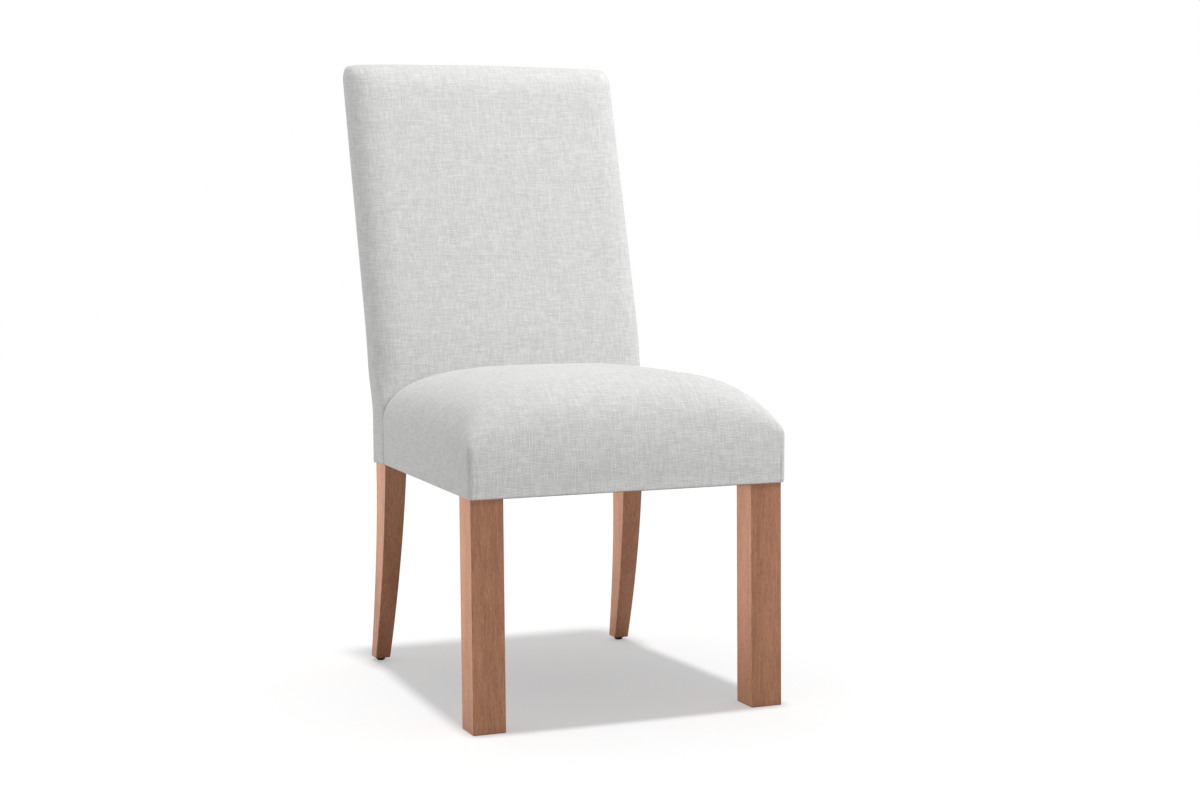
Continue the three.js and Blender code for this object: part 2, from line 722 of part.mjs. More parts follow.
function backRing(skin, height, rollAngle, crownShare) {
  const upShare = THREE.MathUtils.smoothstep(height, BEND_START, BEND_START + BEND_RISE / 2);
  const stand = THREE.MathUtils.lerp(BACK_LOW_STAND, BACK_HIGH_STAND, upShare);
  const rolled = 1 - Math.cos(rollAngle);
  const half = REAR_WIDTH / 2 + skin.side(stand) - (TOP_SIDE_ROLL - skin.top) * rolled;
  const frontRadius = THREE.MathUtils.lerp(BACK_LOW_CORNER, BACK_FRONT_CORNER, upShare) - skin.top;
  const rearRadius = BACK_REAR_CORNER - skin.top;
  const front = BACK_FRONT + skin.front + (TOP_FRONT_ROLL - skin.top) * rolled;
  const rear = BACK_REAR - skin.rear - rearRadius * rolled;
  const bulgeShare = upShare * (1 - crownShare);
  const ring = [];
  const arc = (x, y, radius, from) => {
    for (let i = 0; i <= CORNER_STEPS; i += 1) {
      const angle = from + Math.PI / 2 * i / CORNER_STEPS;
      ring.push([x + radius * Math.cos(angle), y + radius * Math.sin(angle)]);
    }
  };
  const span = (fromX, toX, y, bulge) => {
    for (let i = 1; i < SPAN_STEPS; i += 1) {
      const x = THREE.MathUtils.lerp(fromX, toX, i / SPAN_STEPS);
      ring.push([x, y - bulge * (1 - (x / fromX) ** 2)]);
    }
  };
  span(-half + frontRadius, half - frontRadius, front, BACK_CROWN * bulgeShare);
  arc(half - frontRadius, front + frontRadius, frontRadius, -Math.PI / 2);
  arc(half - rearRadius, rear - rearRadius, rearRadius, 0);
  span(half - rearRadius, -half + rearRadius, rear, 0);
  arc(-half + rearRadius, rear - rearRadius, rearRadius, Math.PI / 2);
  arc(-half + frontRadius, front + frontRadius, frontRadius, Math.PI);
  const rollHeight = (TOP_ROLL_HEIGHT - skin.top) * Math.sin(rollAngle);
  return ring.map(([x, y]) => {
    const crown = BACK_TOP_CROWN * crownShare * (1 - (x / half) ** 2);
    const z = height + rollHeight + crown;
    return [x, y + lean(z), z];
  });
}

function backForm(skin, bottom) {
  const rollStart = BACK_HEIGHT - TOP_ROLL_HEIGHT;
  const heights = [bottom, ...bendHeights(bottom, rollStart)];
  const rings = heights.map((height) => backRing(skin, height, 0, 0));
  for (let i = 1; i <= BODY_STEPS; i += 1) {
    const height = THREE.MathUtils.lerp(BEND_END, rollStart, i / (BODY_STEPS + 1));
    rings.push(backRing(skin, height, 0, 0));
  }
  for (let i = 0; i <= ROLL_STEPS; i += 1) {
    rings.push(backRing(skin, rollStart, Math.PI / 2 * i / ROLL_STEPS, 1));
  }
  return lofted(rings);
}

function lofted(rings) {
  const count = rings[0].length;
  const places = rings.flat();
  const faces = [];
  for (let level = 0; level < rings.length - 1; level += 1) {
    for (let i = 0; i < count; i += 1) {
      const next = (i + 1) % count;
      const [a, b] = [level * count + i, level * count + next];
      const [c, d] = [b + count, a + count];
      faces.push(a, b, c, a, c, d);
    }
  }
  const bottomRing = rings[0].map((place, i) => i).reverse();
  const topRing = rings[0].map((place, i) => (rings.length - 1) * count + i);
  const topHeight = Math.max(...topRing.map((index) => places[index][2]));
  closeWithFan(places, faces, bottomRing, places[0][2]);
  closeWithFan(places, faces, topRing, topHeight);
  return meshOf(places, faces);
}

// Seat cover: one cloth over the crown and down the walls, turned under the rails
function seatCover() {
  const outer = seatForm(coverPlan(0), HEM_HEIGHT);
  const inner = seatForm(coverPlan(COVER_CLOTH), HEM_HEIGHT + COVER_CLOTH);
  const mouthRear = POST_FRONT + SEAT_TUCK + OVERRUN;
  const frontHalf = coverHalfWidth(0) - HEM_TURN;
  const rearHalf = coverHalfWidth(POST_FRONT) - HEM_TURN;
  const mouthOutline = [
    [frontHalf, HEM_TURN - FRONT_STAND],
    [rearHalf, mouthRear],
    [-rearHalf, mouthRear],
    [-frontHalf, HEM_TURN - FRONT_STAND],
  ];
  const mouth = prismZ(mouthOutline, HEM_HEIGHT - OVERRUN, RAIL_BOTTOM + OVERRUN);
  const legHole = legPrism();
  return cutFrom(outer, [inner, mouth, backSpace(), legHole, mirrored(legHole)]);
}

// The room that the finished back takes up, with a clearance all round
function backSpace() {
  return backForm(coverSide(-FIT), HEM_HEIGHT - OVERRUN);
}

function legPrism() {
  const square = rectangle(LEG_INNER - FIT, -FIT, FRONT_WIDTH / 2 + FIT, LEG_SECTION + FIT);
  return prismZ(square, HEM_HEIGHT - OVERRUN, RAIL_BOTTOM + OVERRUN);
}

function seatBatting() {
  const outer = seatForm(coverPlan(COVER_CLOTH + FIT), RAIL_BOTTOM);
  const core = seatForm(corePlan(FIT), RAIL_BOTTOM - OVERRUN);
  return cutFrom(outer, [core, backSpace()]);
}

function seatFoam() {
  const block = seatForm(corePlan(0), SEAT_FOAM_BOTTOM - OVERRUN);
  const below = boxBetween(
    new THREE.Vector3(-FRONT_WIDTH, -FRONT_WIDTH, SEAT_FOAM_BOTTOM - 2 * OVERRUN),
    new THREE.Vector3(FRONT_WIDTH, FRAME_DEPTH + FRONT_WIDTH, SEAT_FOAM_BOTTOM),
  );
  return cutFrom(block, [below, backSpace()]);
}

// The gap in the back's front for the rails and what lies on them, up to a height
function seatNotch(top) {
  return boxBetween(
    new THREE.Vector3(-REAR_WIDTH / 2 - 2 * FIT, BACK_FRONT - OVERRUN, HEM_HEIGHT - 2 * OVERRUN),
    new THREE.Vector3(REAR_WIDTH / 2 + 2 * FIT, POST_FRONT + OVERRUN, top),
  );
}

// Inside-back cover: front, top and sides in one, open behind and below, tucked behind the seat
function backCover() {
  const outer = backForm(coverSide(0), HEM_HEIGHT);
  const inner = backForm(coverSide(COVER_CLOTH), HEM_HEIGHT - OVERRUN);
  const rearOpening = leaningSlab(
    FRAME_DEPTH,
    REAR_STAND + OVERRUN,
    HEM_HEIGHT - OVERRUN,
    BACK_HEIGHT - REAR_SEAM_SET,
    REAR_WIDTH / 2 + BACK_LOW_STAND - REAR_SEAM_SET,
  );
  const behindSeat = seatForm(coverPlan(COVER_TUCK), HEM_HEIGHT);
  return cutFrom(outer, [inner, rearOpening, seatNotch(SEAT_FOAM_BOTTOM), behindSeat]);
}

// The room that the posts and all between them take up inside the padding
function postRoom() {
  const front = (z) => uprightPostFront(z) - FIT;
  const outline = leaningOutline(front, () => BACK_REAR, RAIL_BOTTOM - OVERRUN, POST_HEIGHT + FIT);
  return prismX(outline, -REAR_WIDTH / 2 - FIT, REAR_WIDTH / 2 + FIT);
}

function backBatting() {
  const outer = backForm(coverSide(COVER_CLOTH + FIT), RAIL_BOTTOM);
  const core = backForm(coreSide(FIT), RAIL_BOTTOM - OVERRUN);
  const rear = leaningSlab(
    FRAME_DEPTH - FIT,
    REAR_STAND + OVERRUN,
    RAIL_BOTTOM - OVERRUN,
    BACK_HEIGHT + TOP_ROLL_HEIGHT,
    REAR_WIDTH / 2 + FIT,
  );
  return cutFrom(outer, [core, rear, postRoom(), seatNotch(BACK_BATTING_BOTTOM)]);
}

// Back foam: a front pad that thins behind its foot and folds over the crest rail
function backFoam() {
  const block = backForm(coreSide(0), BACK_FOAM_BOTTOM);
  const rearFace = (z) => Math.min(BACK_CLOTH_FRONT, uprightPostFront(z)) - FIT;
  const bottom = BACK_FOAM_BOTTOM - OVERRUN;
  const behind = leaningOutline(rearFace, () => BACK_REAR + OVERRUN, bottom, POST_HEIGHT + FIT);
  return cutFrom(block, [prismX(behind, -REAR_WIDTH, REAR_WIDTH)]);
}

function dustCover() {
  const rear = BACK_REAR - DUST_SET;
  const outline = [
    [coverHalfWidth(-FRONT_STAND) - DUST_SET, -FRONT_STAND + DUST_SET],
    [coverHalfWidth(POST_FRONT) - DUST_SET, rear],
    [-coverHalfWidth(POST_FRONT) + DUST_SET, rear],
    [-coverHalfWidth(-FRONT_STAND) + DUST_SET, -FRONT_STAND + DUST_SET],
  ];
  const top = HEM_HEIGHT - FIT;
  const cloth = prismZ(outline, top - DUST_CLOTH, top);
  const postSquare = rectangle(POST_INNER - FIT, POST_FRONT - FIT, REAR_WIDTH, BACK_REAR);
  const postHole = prismZ(postSquare, HEM_HEIGHT - OVERRUN, RAIL_BOTTOM + OVERRUN);
  const legHole = legPrism();
  return cutFrom(cloth, [legHole, mirrored(legHole), postHole, mirrored(postHole)]);
}

// The wooden frame
function addPair(name, right, finish) {
  addPiece(`${name}_right`, right, finish);
  addPiece(`${name}_left`, mirrored(right), finish);
}

addPair('front_leg', frontLegRight(), 'wood');
addPair('rear_post', rearPostRight(), 'wood');
addPiece('front_seat_rail', crossRail(LEG_INNER, 0, frontTenon(0), FRONT_SCREWS), 'frame_wood');
const rearSeatRail = crossRail(POST_INNER, POST_FRONT + REAR_RAIL_SET, rearTenon(0), REAR_SCREWS);
addPiece('rear_seat_rail', rearSeatRail, 'frame_wood');
addPair('side_seat_rail', sideRailRight(), 'frame_wood');
addPiece('stuffing_rail', backRail(STUFFING_RAIL_BOTTOM), 'frame_wood');
addPiece('crest_rail', backRail(CREST_BOTTOM), 'frame_wood');
addPair('corner_block_front', cornerBlock(FRONT_CORNER, FRONT_SCREWS), 'frame_wood');
addPair('corner_block_rear', cornerBlock(REAR_CORNER, REAR_SCREWS), 'frame_wood');

function addScrewPair(name, screw) {
  const shape = lathed([...screwFlank(0), [0, 0]]);
  const leftPlace = screw.place.clone().setX(-screw.place.x);
  addPiece(`${name}_right`, shape, 'steel', screw.place, new THREE.Euler(0, 0, screw.turn));
  addPiece(`${name}_left`, shape.clone(), 'steel', leftPlace, new THREE.Euler(0, 0, -screw.turn));
}

addScrewPair('block_screw_front_cross', FRONT_SCREWS.cross);
addScrewPair('block_screw_front_side', FRONT_SCREWS.side);
addScrewPair('block_screw_rear_cross', REAR_SCREWS.cross);
addScrewPair('block_screw_rear_side', REAR_SCREWS.side);

const glideRight = glidePlace();
addPiece('glide_right', glide(), 'glide', glideRight);
addPiece('glide_left', glide(), 'glide', glideRight.clone().setX(-glideRight.x));

// Suspension of the seat and of the back
LONG_CENTRES.forEach((centre, i) => {
  addPiece(`seat_webbing_long_${i + 1}`, longStrap(centre, i % 2 === 0), 'webbing');
});
CROSS_CENTRES.forEach((centre, i) => {
  addPiece(`seat_webbing_cross_${i + 1}`, crossStrap(centre, i % 2 === 1), 'webbing');
});
addPiece('seat_platform_cloth', seatPlatformCloth(), 'platform');

const BACK_STRAP_CENTRES = strapCentres(BEND_END + BACK_STRAP_ROOM, CREST_BOTTOM, BACK_STRAPS);
BACK_STRAP_CENTRES.forEach((centre, i) => {
  const low = centre - WEBBING_WIDTH / 2;
  const strap = leaningSlab(
    BACK_WEBBING_FRONT,
    WEBBING_THICKNESS,
    low,
    low + WEBBING_WIDTH,
    REAR_WIDTH / 2 - WEBBING_END_SET,
  );
  addPiece(`back_webbing_${i + 1}`, strap, 'webbing');
});
addPiece('back_platform_cloth', leaningSlab(
  BACK_CLOTH_FRONT,
  PLATFORM_CLOTH,
  RAIL_TOP + SHOULDER_RISE + BACK_CLOTH_SET,
  POST_HEIGHT - BACK_CLOTH_SET,
  REAR_WIDTH / 2 - BACK_CLOTH_SET,
), 'platform');

// Padding and covers
addPiece('seat_foam', seatFoam(), 'foam');
addPiece('seat_batting', seatBatting(), 'batting');
addPiece('seat_cover', seatCover(), 'linen');
addPiece('back_foam', backFoam(), 'foam');
addPiece('back_batting', backBatting(), 'batting');
addPiece('back_cover', backCover(), 'linen');
addPiece('outside_back_board', leaningSlab(
  FRAME_DEPTH + FIT,
  REAR_BOARD,
  RAIL_BOTTOM,
  POST_HEIGHT,
  REAR_WIDTH / 2,
), 'board');
addPiece('outside_back_batting', leaningSlab(
  FRAME_DEPTH + FIT + REAR_BOARD + FIT,
  REAR_BATTING,
  RAIL_BOTTOM,
  POST_HEIGHT,
  REAR_WIDTH / 2 - BACK_REAR_CORNER,
), 'batting');
addPiece('outside_back_cover', leaningSlab(
  BACK_REAR - COVER_CLOTH,
  COVER_CLOTH,
  HEM_HEIGHT,
  BACK_HEIGHT - REAR_SEAM_SET - FIT,
  REAR_WIDTH / 2 + BACK_LOW_STAND - REAR_SEAM_SET - FIT,
), 'linen');
addPiece('dust_cover', dustCover(), 'dust_cloth');

// The origin is on the floor under the middle of the chair's overall box
workshop.updateMatrixWorld(true);
const overall = new THREE.Box3().setFromObject(workshop);
workshop.position.set(0, -(overall.min.y + overall.max.y) / 2, 0);

const chair = new THREE.Group();
chair.add(workshop);

export default chair;
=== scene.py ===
import math

import bmesh
import bpy
from mathutils import Euler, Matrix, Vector, noise


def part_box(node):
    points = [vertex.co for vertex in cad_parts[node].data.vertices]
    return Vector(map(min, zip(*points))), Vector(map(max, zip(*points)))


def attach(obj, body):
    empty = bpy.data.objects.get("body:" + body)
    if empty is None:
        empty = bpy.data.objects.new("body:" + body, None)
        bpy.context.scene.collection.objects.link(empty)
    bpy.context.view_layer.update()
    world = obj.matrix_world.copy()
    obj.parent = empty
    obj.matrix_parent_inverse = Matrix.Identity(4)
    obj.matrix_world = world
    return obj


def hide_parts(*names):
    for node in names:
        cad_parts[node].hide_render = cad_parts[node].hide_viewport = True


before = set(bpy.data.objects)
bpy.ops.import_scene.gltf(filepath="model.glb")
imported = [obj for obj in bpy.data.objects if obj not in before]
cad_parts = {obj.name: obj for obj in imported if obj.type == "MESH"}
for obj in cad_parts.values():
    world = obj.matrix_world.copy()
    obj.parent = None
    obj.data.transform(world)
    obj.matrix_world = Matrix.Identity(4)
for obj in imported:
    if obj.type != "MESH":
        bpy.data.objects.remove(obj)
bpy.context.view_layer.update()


# Rear posts: each is one length of hardwood sawn to a sabre curve below the seat and a straight
# rake above it. The leg narrows towards the foot, and the upper part is buried in the upholstery.
front_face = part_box("front_leg_right")[0].y
seat_rear_width = 0.439
frame_depth = 0.518
post_width = 0.036
post_front = 0.468
upper_post_front = 0.4915
foot_width = 0.024
foot_depth = 0.026
foot_sweep = 0.0466
hem_height = 0.3255
rail_top = 0.3933
bend_start = 0.400
bend_rise = 0.1628
rake = math.tan(math.radians(15.6))
edge_ease = 0.0015
wood_dark = (0.245, 0.098, 0.046)
wood_light = (0.395, 0.182, 0.096)
lacquer_roughness = 0.34


def plug(place, value):
    """Links a socket to a value, or sets it to a number, a colour or a vector."""
    if isinstance(value, Value):
        place.id_data.links.new(value.socket, place)
    else:
        place.default_value = value


def math_method(operation, reflected=False):
    """A method that adds one Math node, with its own value first, or last if reflected."""
    def method(self, *others):
        made = self.socket.id_data.nodes.new("ShaderNodeMath")
        made.operation = operation
        for place, term in zip(made.inputs, (*others, self) if reflected else (self, *others)):
            plug(place, term)
        return Value(made.outputs["Value"])
    return method


class Value:
    """One output of a node. Sums and products of it add Math nodes to its tree."""

    def __init__(self, socket):
        self.socket = socket

    def out(self, name):
        return Value(self.socket.node.outputs[name])

    def kept(self, low, high):
        return self.at_least(low).at_most(high)

    __add__ = __radd__ = math_method("ADD")
    __mul__ = __rmul__ = math_method("MULTIPLY")
    __sub__ = math_method("SUBTRACT")
    __rsub__ = math_method("SUBTRACT", reflected=True)
    __truediv__ = math_method("DIVIDE")
    __rtruediv__ = math_method("DIVIDE", reflected=True)
    __mod__ = math_method("FLOORED_MODULO")
    __rmod__ = math_method("FLOORED_MODULO", reflected=True)
    at_least = math_method("MAXIMUM")
    at_most = math_method("MINIMUM")
    floor = math_method("FLOOR")
    sine = math_method("SINE")
    size = math_method("ABSOLUTE")


class Bench:
    """A node tree being built. The method node makes any node in it, and the others use it."""

    def __init__(self, tree):
        self.tree = tree
        tree.nodes.clear()

    def node(self, kind, settings=None, sockets=None, out=0):
        made = self.tree.nodes.new(kind)
        for name, setting in (settings or {}).items():
            setattr(made, name, setting)
        for name, value in (sockets or {}).items():
            plug(made.inputs[name], value)
        return Value(made.outputs[out]) if made.outputs else None

    def vector(self, x, y, z):
        return self.node("ShaderNodeCombineXYZ", None, {"X": x, "Y": y, "Z": z})

    def parts(self, vector):
        whole = self.node("ShaderNodeSeparateXYZ", None, {"Vector": vector})
        return [whole.out(axis) for axis in "XYZ"]

    def object_place(self):
        return self.node("ShaderNodeTexCoord", out="Object")

    def cloth_chart(self):
        return self.node("ShaderNodeUVMap", {"uv_map": "weave"})

    def smooth_step(self, value, low, high):
        return self.node(
            "ShaderNodeMapRange",
            {"interpolation_type": "SMOOTHSTEP"},
            {"Value": value, "From Min": low, "From Max": high},
        )

    def speckle(self, place, scale, detail=2.0, dimensions="3D"):
        return self.node(
            "ShaderNodeTexNoise",
            {"noise_dimensions": dimensions},
            {"Vector": place, "Scale": scale, "Detail": detail},
        )

    def cells(self, place, scale):
        return self.node("ShaderNodeTexVoronoi", {"feature": "F1"}, {"Vector": place, "Scale": scale})

    def blend(self, share, first, second):
        """A mix of two colours, each of them a value or three numbers."""
        ends = [end if isinstance(end, Value) else (*end, 1) for end in (first, second)]
        return self.node("ShaderNodeMix", {"data_type": "RGBA"}, {0: share, 6: ends[0], 7: ends[1]}, out=2)

    def relief(self, strength, distance, height):
        return self.node(
            "ShaderNodeBump",
            None,
            {"Strength": strength, "Distance": distance, "Height": height},
        )

    def surface(self, **sockets):
        named = {name.replace("_", " "): value for name, value in sockets.items()}
        shader = self.node("ShaderNodeBsdfPrincipled", None, named)
        self.node("ShaderNodeOutputMaterial", None, {"Surface": shader})


def new_finish(name):
    finish = bpy.data.materials.new(name)
    finish.use_nodes = True
    return finish, Bench(finish.node_tree)


def wood_finish(name, dark, light, grain_axis, roughness):
    """Straight-grained hardwood: long streaks, short pores and a soft cloudy tone."""
    finish, bench = new_finish(name)
    place = bench.parts(bench.object_place())

    def drawn_out(share):
        """The place with the grain's axis shortened, so that a pattern on it is drawn out."""
        shares = [share if axis == grain_axis else 1.0 for axis in "XYZ"]
        return bench.vector(*[part * shorter for part, shorter in zip(place, shares)])

    along = drawn_out(0.07)
    cloud = bench.speckle(along, 34, 3.0)
    streak = bench.speckle(along, 420, 3.0)
    fleck = bench.speckle(drawn_out(0.16), 1150, 2.0)
    pores = bench.smooth_step(fleck, 0.56, 0.70)
    tone = bench.smooth_step(cloud * 0.55 + streak * 0.6 - 0.08, 0.22, 0.78)
    pored = bench.blend(pores * 0.42, bench.blend(tone, dark, light), [0.45 * part for part in dark])
    bright = bench.smooth_step(fleck * -1, -0.44, -0.32) * 0.35
    bench.surface(
        Base_Color=bench.blend(bright, pored, [min(1.0, 1.35 * part) for part in light]),
        Roughness=roughness + pores * 0.16 + cloud * 0.10,
        Normal=bench.relief(0.25, 0.0004, streak * 0.5 - pores * 0.6),
    )
    return finish


def shape_tree(name, sizes):
    """A Geometry Nodes tree with a named input for each size, and for the finish."""
    kinds = {"Path": "Geometry", "Finish": "Material", "Outward": "Vector"}
    tree = bpy.data.node_groups.new(name, "GeometryNodeTree")
    bench = Bench(tree)
    tree.interface.new_socket("Shape", in_out="OUTPUT", socket_type="NodeSocketGeometry")
    for label in sizes:
        kind = "NodeSocket" + kinds.get(label, "Float")
        tree.interface.new_socket(label, in_out="INPUT", socket_type=kind)
    given = tree.nodes.new("NodeGroupInput")
    return bench, {label: Value(given.outputs[label]) for label in sizes}


def end_tree(bench, shape, finish):
    """Every tree ends with its instances made real and its finish set."""
    real = bench.node("GeometryNodeRealizeInstances", None, {"Geometry": shape})
    finished = bench.node("GeometryNodeSetMaterial", None, {"Geometry": real, "Material": finish})
    bench.node("NodeGroupOutput", None, {"Shape": finished})


def add_object(name, mesh):
    thing = bpy.data.objects.new(name, mesh)
    bpy.context.scene.collection.objects.link(thing)
    return thing


def made_plain(thing):
    """Puts what the modifiers make in place of the object's mesh, and removes them."""
    shown = thing.evaluated_get(bpy.context.evaluated_depsgraph_get())
    made = bpy.data.meshes.new_from_object(shown)
    thing.modifiers.clear()
    thing.data = made


def grown(name, bench, sizes, path=None):
    """A plain mesh object made by a tree from these sizes, along a path if the tree takes one."""
    thing = add_object(name, path or bpy.data.meshes.new(name))
    growth = thing.modifiers.new("growth", "NODES")
    growth.node_group = bench.tree
    for item in bench.tree.interface.items_tree:
        if item.in_out == "INPUT" and item.name != "Path":
            growth[item.identifier] = sizes[item.name]
    made_plain(thing)
    return thing


def tidied(thing, weld=0.00002):
    """Merges doubles and turns every face outwards."""
    shape = bmesh.new()
    shape.from_mesh(thing.data)
    bmesh.ops.remove_doubles(shape, verts=shape.verts, dist=weld)
    bmesh.ops.recalc_face_normals(shape, faces=shape.faces)
    shape.to_mesh(thing.data)
    shape.free()


def shade_smooth(thing):
    thing.data.polygons.foreach_set("use_smooth", [True] * len(thing.data.polygons))


def finish_piece(thing, slot, *nodes):
    """Hides the solids that the piece stands for, if there are any, and puts it in the root body. The slot
    is not used.
    """
    if nodes:
        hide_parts(*nodes)
    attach(thing, "root")


post_sizes = {
    "Side": 1.0,
    "Front Face": front_face,
    "Outer Face": seat_rear_width / 2,
    "Top Width": post_width,
    "Foot Width": foot_width,
    "Foot Height": 0.0055,
    "Foot Rear": frame_depth + foot_sweep,
    "Foot Depth": foot_depth,
    "Rear Face": frame_depth,
    "Rear Knee Height": 0.185,
    "Rear Sweep Top": 0.300,
    "Front Set": post_front,
    "Front Knee Set": 0.0096,
    "Front Knee Height": 0.170,
    "Front Sweep Top": hem_height,
    "Post Height": 0.938,
    "Shoulder Bottom": rail_top,
    "Shoulder Rise": 0.106,
    "Upper Front": upper_post_front,
    "Bend Start": bend_start,
    "Bend Rise": bend_rise,
    "Rake": rake,
    "Finish": None,
}
post_rows = 96
sweep_share = 0.36
bench, size = shape_tree("sabre_post", post_sizes)
blank = bench.node(
    "GeometryNodeMeshCube",
    None,
    {"Size": (1, 1, 1), "Vertices X": 2, "Vertices Y": 2, "Vertices Z": post_rows},
)
blank_x, blank_y, blank_z = bench.parts(bench.node("GeometryNodeInputPosition"))
climb = blank_z + 0.5
swept = (climb / sweep_share).kept(0, 1)
above = ((climb - sweep_share) / (1 - sweep_share)).kept(0, 1)


def swept_edge(*spots):
    """Depth and height of one edge of the leg, along the curve that three spots give."""
    ends = {label: bench.vector(0, *spot) for label, spot in zip(("Start", "Middle", "End"), spots)}
    curve = bench.node("GeometryNodeCurveQuadraticBezier", None, {"Resolution": 64, **ends})
    found = bench.node(
        "GeometryNodeSampleCurve",
        {"mode": "FACTOR", "use_all_curves": True},
        {"Curves": curve, "Factor": swept},
        out="Position",
    )
    return bench.parts(found)[1:]


rear_y, rear_rise = swept_edge(
    (size["Foot Rear"], size["Foot Height"]),
    (size["Rear Face"], size["Rear Knee Height"]),
    (size["Rear Face"], size["Rear Sweep Top"]),
)
front_y, front_rise = swept_edge(
    (size["Foot Rear"] - size["Foot Depth"], size["Foot Height"]),
    (size["Front Set"] + size["Front Knee Set"], size["Front Knee Height"]),
    (size["Front Set"], size["Front Sweep Top"]),
)
rear_share = blank_y + 0.5
rear_z = rear_rise + above * (size["Post Height"] - size["Rear Sweep Top"])
front_z = front_rise + above * (size["Post Height"] - size["Front Sweep Top"])
post_z = front_z + (rear_z - front_z) * rear_share
shoulder_top = size["Shoulder Bottom"] + size["Shoulder Rise"]
thinned = bench.smooth_step(post_z, size["Shoulder Bottom"], shoulder_top)
upper_y = front_y + thinned * (size["Upper Front"] - size["Front Set"])
upright_y = upper_y + (rear_y - upper_y) * rear_share
bent = (post_z - size["Bend Start"]).kept(0, size["Bend Rise"])
past_bend = (post_z - size["Bend Start"] - size["Bend Rise"]).kept(0, 1)
leant = size["Rake"] * (bent * bent / (size["Bend Rise"] * 2) + past_bend)
widening = (post_z / size["Front Sweep Top"]).kept(0, 1)
width = size["Foot Width"] + (size["Top Width"] - size["Foot Width"]) * widening
post_x = size["Outer Face"] - width * (0.5 - blank_x)
post_place = bench.vector(post_x * size["Side"], upright_y + leant + size["Front Face"], post_z)
shaped = bench.node("GeometryNodeSetPosition", None, {"Geometry": blank, "Position": post_place})
end_tree(bench, shaped, size["Finish"])
stained_wood = wood_finish("stained_wood", wood_dark, wood_light, "Z", lacquer_roughness)
for side, name in ((1.0, "right"), (-1.0, "left")):
    post = grown(f"sabre_post_{name}", bench, {**post_sizes, "Side": side, "Finish": stained_wood})
    tidied(post)
    shade_smooth(post)
    rounding = post.modifiers.new("eased_edges", "BEVEL")
    rounding.width = edge_ease
    rounding.segments = 3
    rounding.limit_method = "ANGLE"
    rounding.angle_limit = math.radians(40)
    post.modifiers.new("flat_faces", "WEIGHTED_NORMAL")
    finish_piece(post, "stained_wood", f"rear_post_{name}")


# Front legs: square hardwood posts with eased edges, mortised for the rails. They are stained
# and lacquered like the rear legs, and the frame's own solids already have their shape.
def refinished(finish, *names):
    for name in names:
        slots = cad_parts[name].data.materials
        slots.clear()
        slots.append(finish)


refinished(stained_wood, "front_leg_right", "front_leg_left")


# Inner frame: rails of unstained hardwood, tenoned and glued into the legs and posts, with a
# notched corner block screwed into each corner. All of it is covered in the finished chair.
pale_dark = (0.42, 0.27, 0.145)
pale_light = (0.62, 0.45, 0.28)
planed_roughness = 0.55
cross_wood = wood_finish("frame_wood_across", pale_dark, pale_light, "X", planed_roughness)
side_wood = wood_finish("frame_wood_along", pale_dark, pale_light, "Y", planed_roughness)
refinished(cross_wood, "front_seat_rail", "rear_seat_rail", "stuffing_rail", "crest_rail")
refinished(side_wood, "side_seat_rail_right", "side_seat_rail_left")
for end in ("front", "rear"):
    refinished(cross_wood, f"corner_block_{end}_right", f"corner_block_{end}_left")


# Block screws: zinc-plated countersunk wood screws, two through each corner block, one into
# the cross rail and one into the side rail.
zinc, bench = new_finish("zinc_plate")
rubbed = bench.speckle(bench.object_place(), 900, 3.0)
bench.surface(
    Base_Color=bench.blend(rubbed, (0.42, 0.43, 0.44), (0.66, 0.67, 0.69)),
    Metallic=1.0,
    Roughness=0.22 + rubbed * 0.25,
)
for end in ("front", "rear"):
    for way in ("cross", "side"):
        refinished(zinc, *[f"block_screw_{end}_{way}_{side}" for side in ("right", "left")])


# Glides: domed black nylon buttons, each nailed into the foot of a rear leg so that it doesn't
# scrape the floor. The front legs have none.
nylon, bench = new_finish("black_nylon")
scuff = bench.speckle(bench.object_place(), 1400, 4.0)
bench.surface(
    Base_Color=bench.blend(scuff, (0.012, 0.012, 0.013), (0.035, 0.034, 0.034)),
    Roughness=0.36 + scuff * 0.22,
    Normal=bench.relief(0.2, 0.0001, scuff),
)
glide_flat = 0.003
glide_radius = 0.007
dome_rise = 0.0034
glide_height = 0.0052
glide_ease = 0.0004
glide_steps = 40
nail_profile = [(0.0014, glide_height), (0.0013, 0.0185), (0, 0.022)]


def spread(low, high, count):
    """Evenly spaced numbers from low to high, in this many steps."""
    return [low + (high - low) * i / count for i in range(count + 1)]


def spun(name, profile, centre, steps, finish):
    """A closed round piece turned from a profile of radii and heights, lowest first."""
    shape = bmesh.new()
    rings = []
    for radius, height in profile:
        ring = []
        for i in range(steps if radius > 0 else 1):
            angle = 2 * math.pi * i / steps
            offset = Vector((radius * math.cos(angle), radius * math.sin(angle), height))
            ring.append(shape.verts.new(centre + offset))
        rings.append(ring)
    for low, high in zip(rings, rings[1:]):
        for i in range(steps):
            corners = [low[i % len(low)], low[(i + 1) % len(low)]]
            corners += [high[(i + 1) % len(high)], high[i % len(high)]]
            shape.faces.new(list(dict.fromkeys(corners)))
    mesh = bpy.data.meshes.new(name)
    shape.to_mesh(mesh)
    shape.free()
    mesh.materials.append(finish)
    thing = add_object(name, mesh)
    tidied(thing)
    shade_smooth(thing)
    return thing


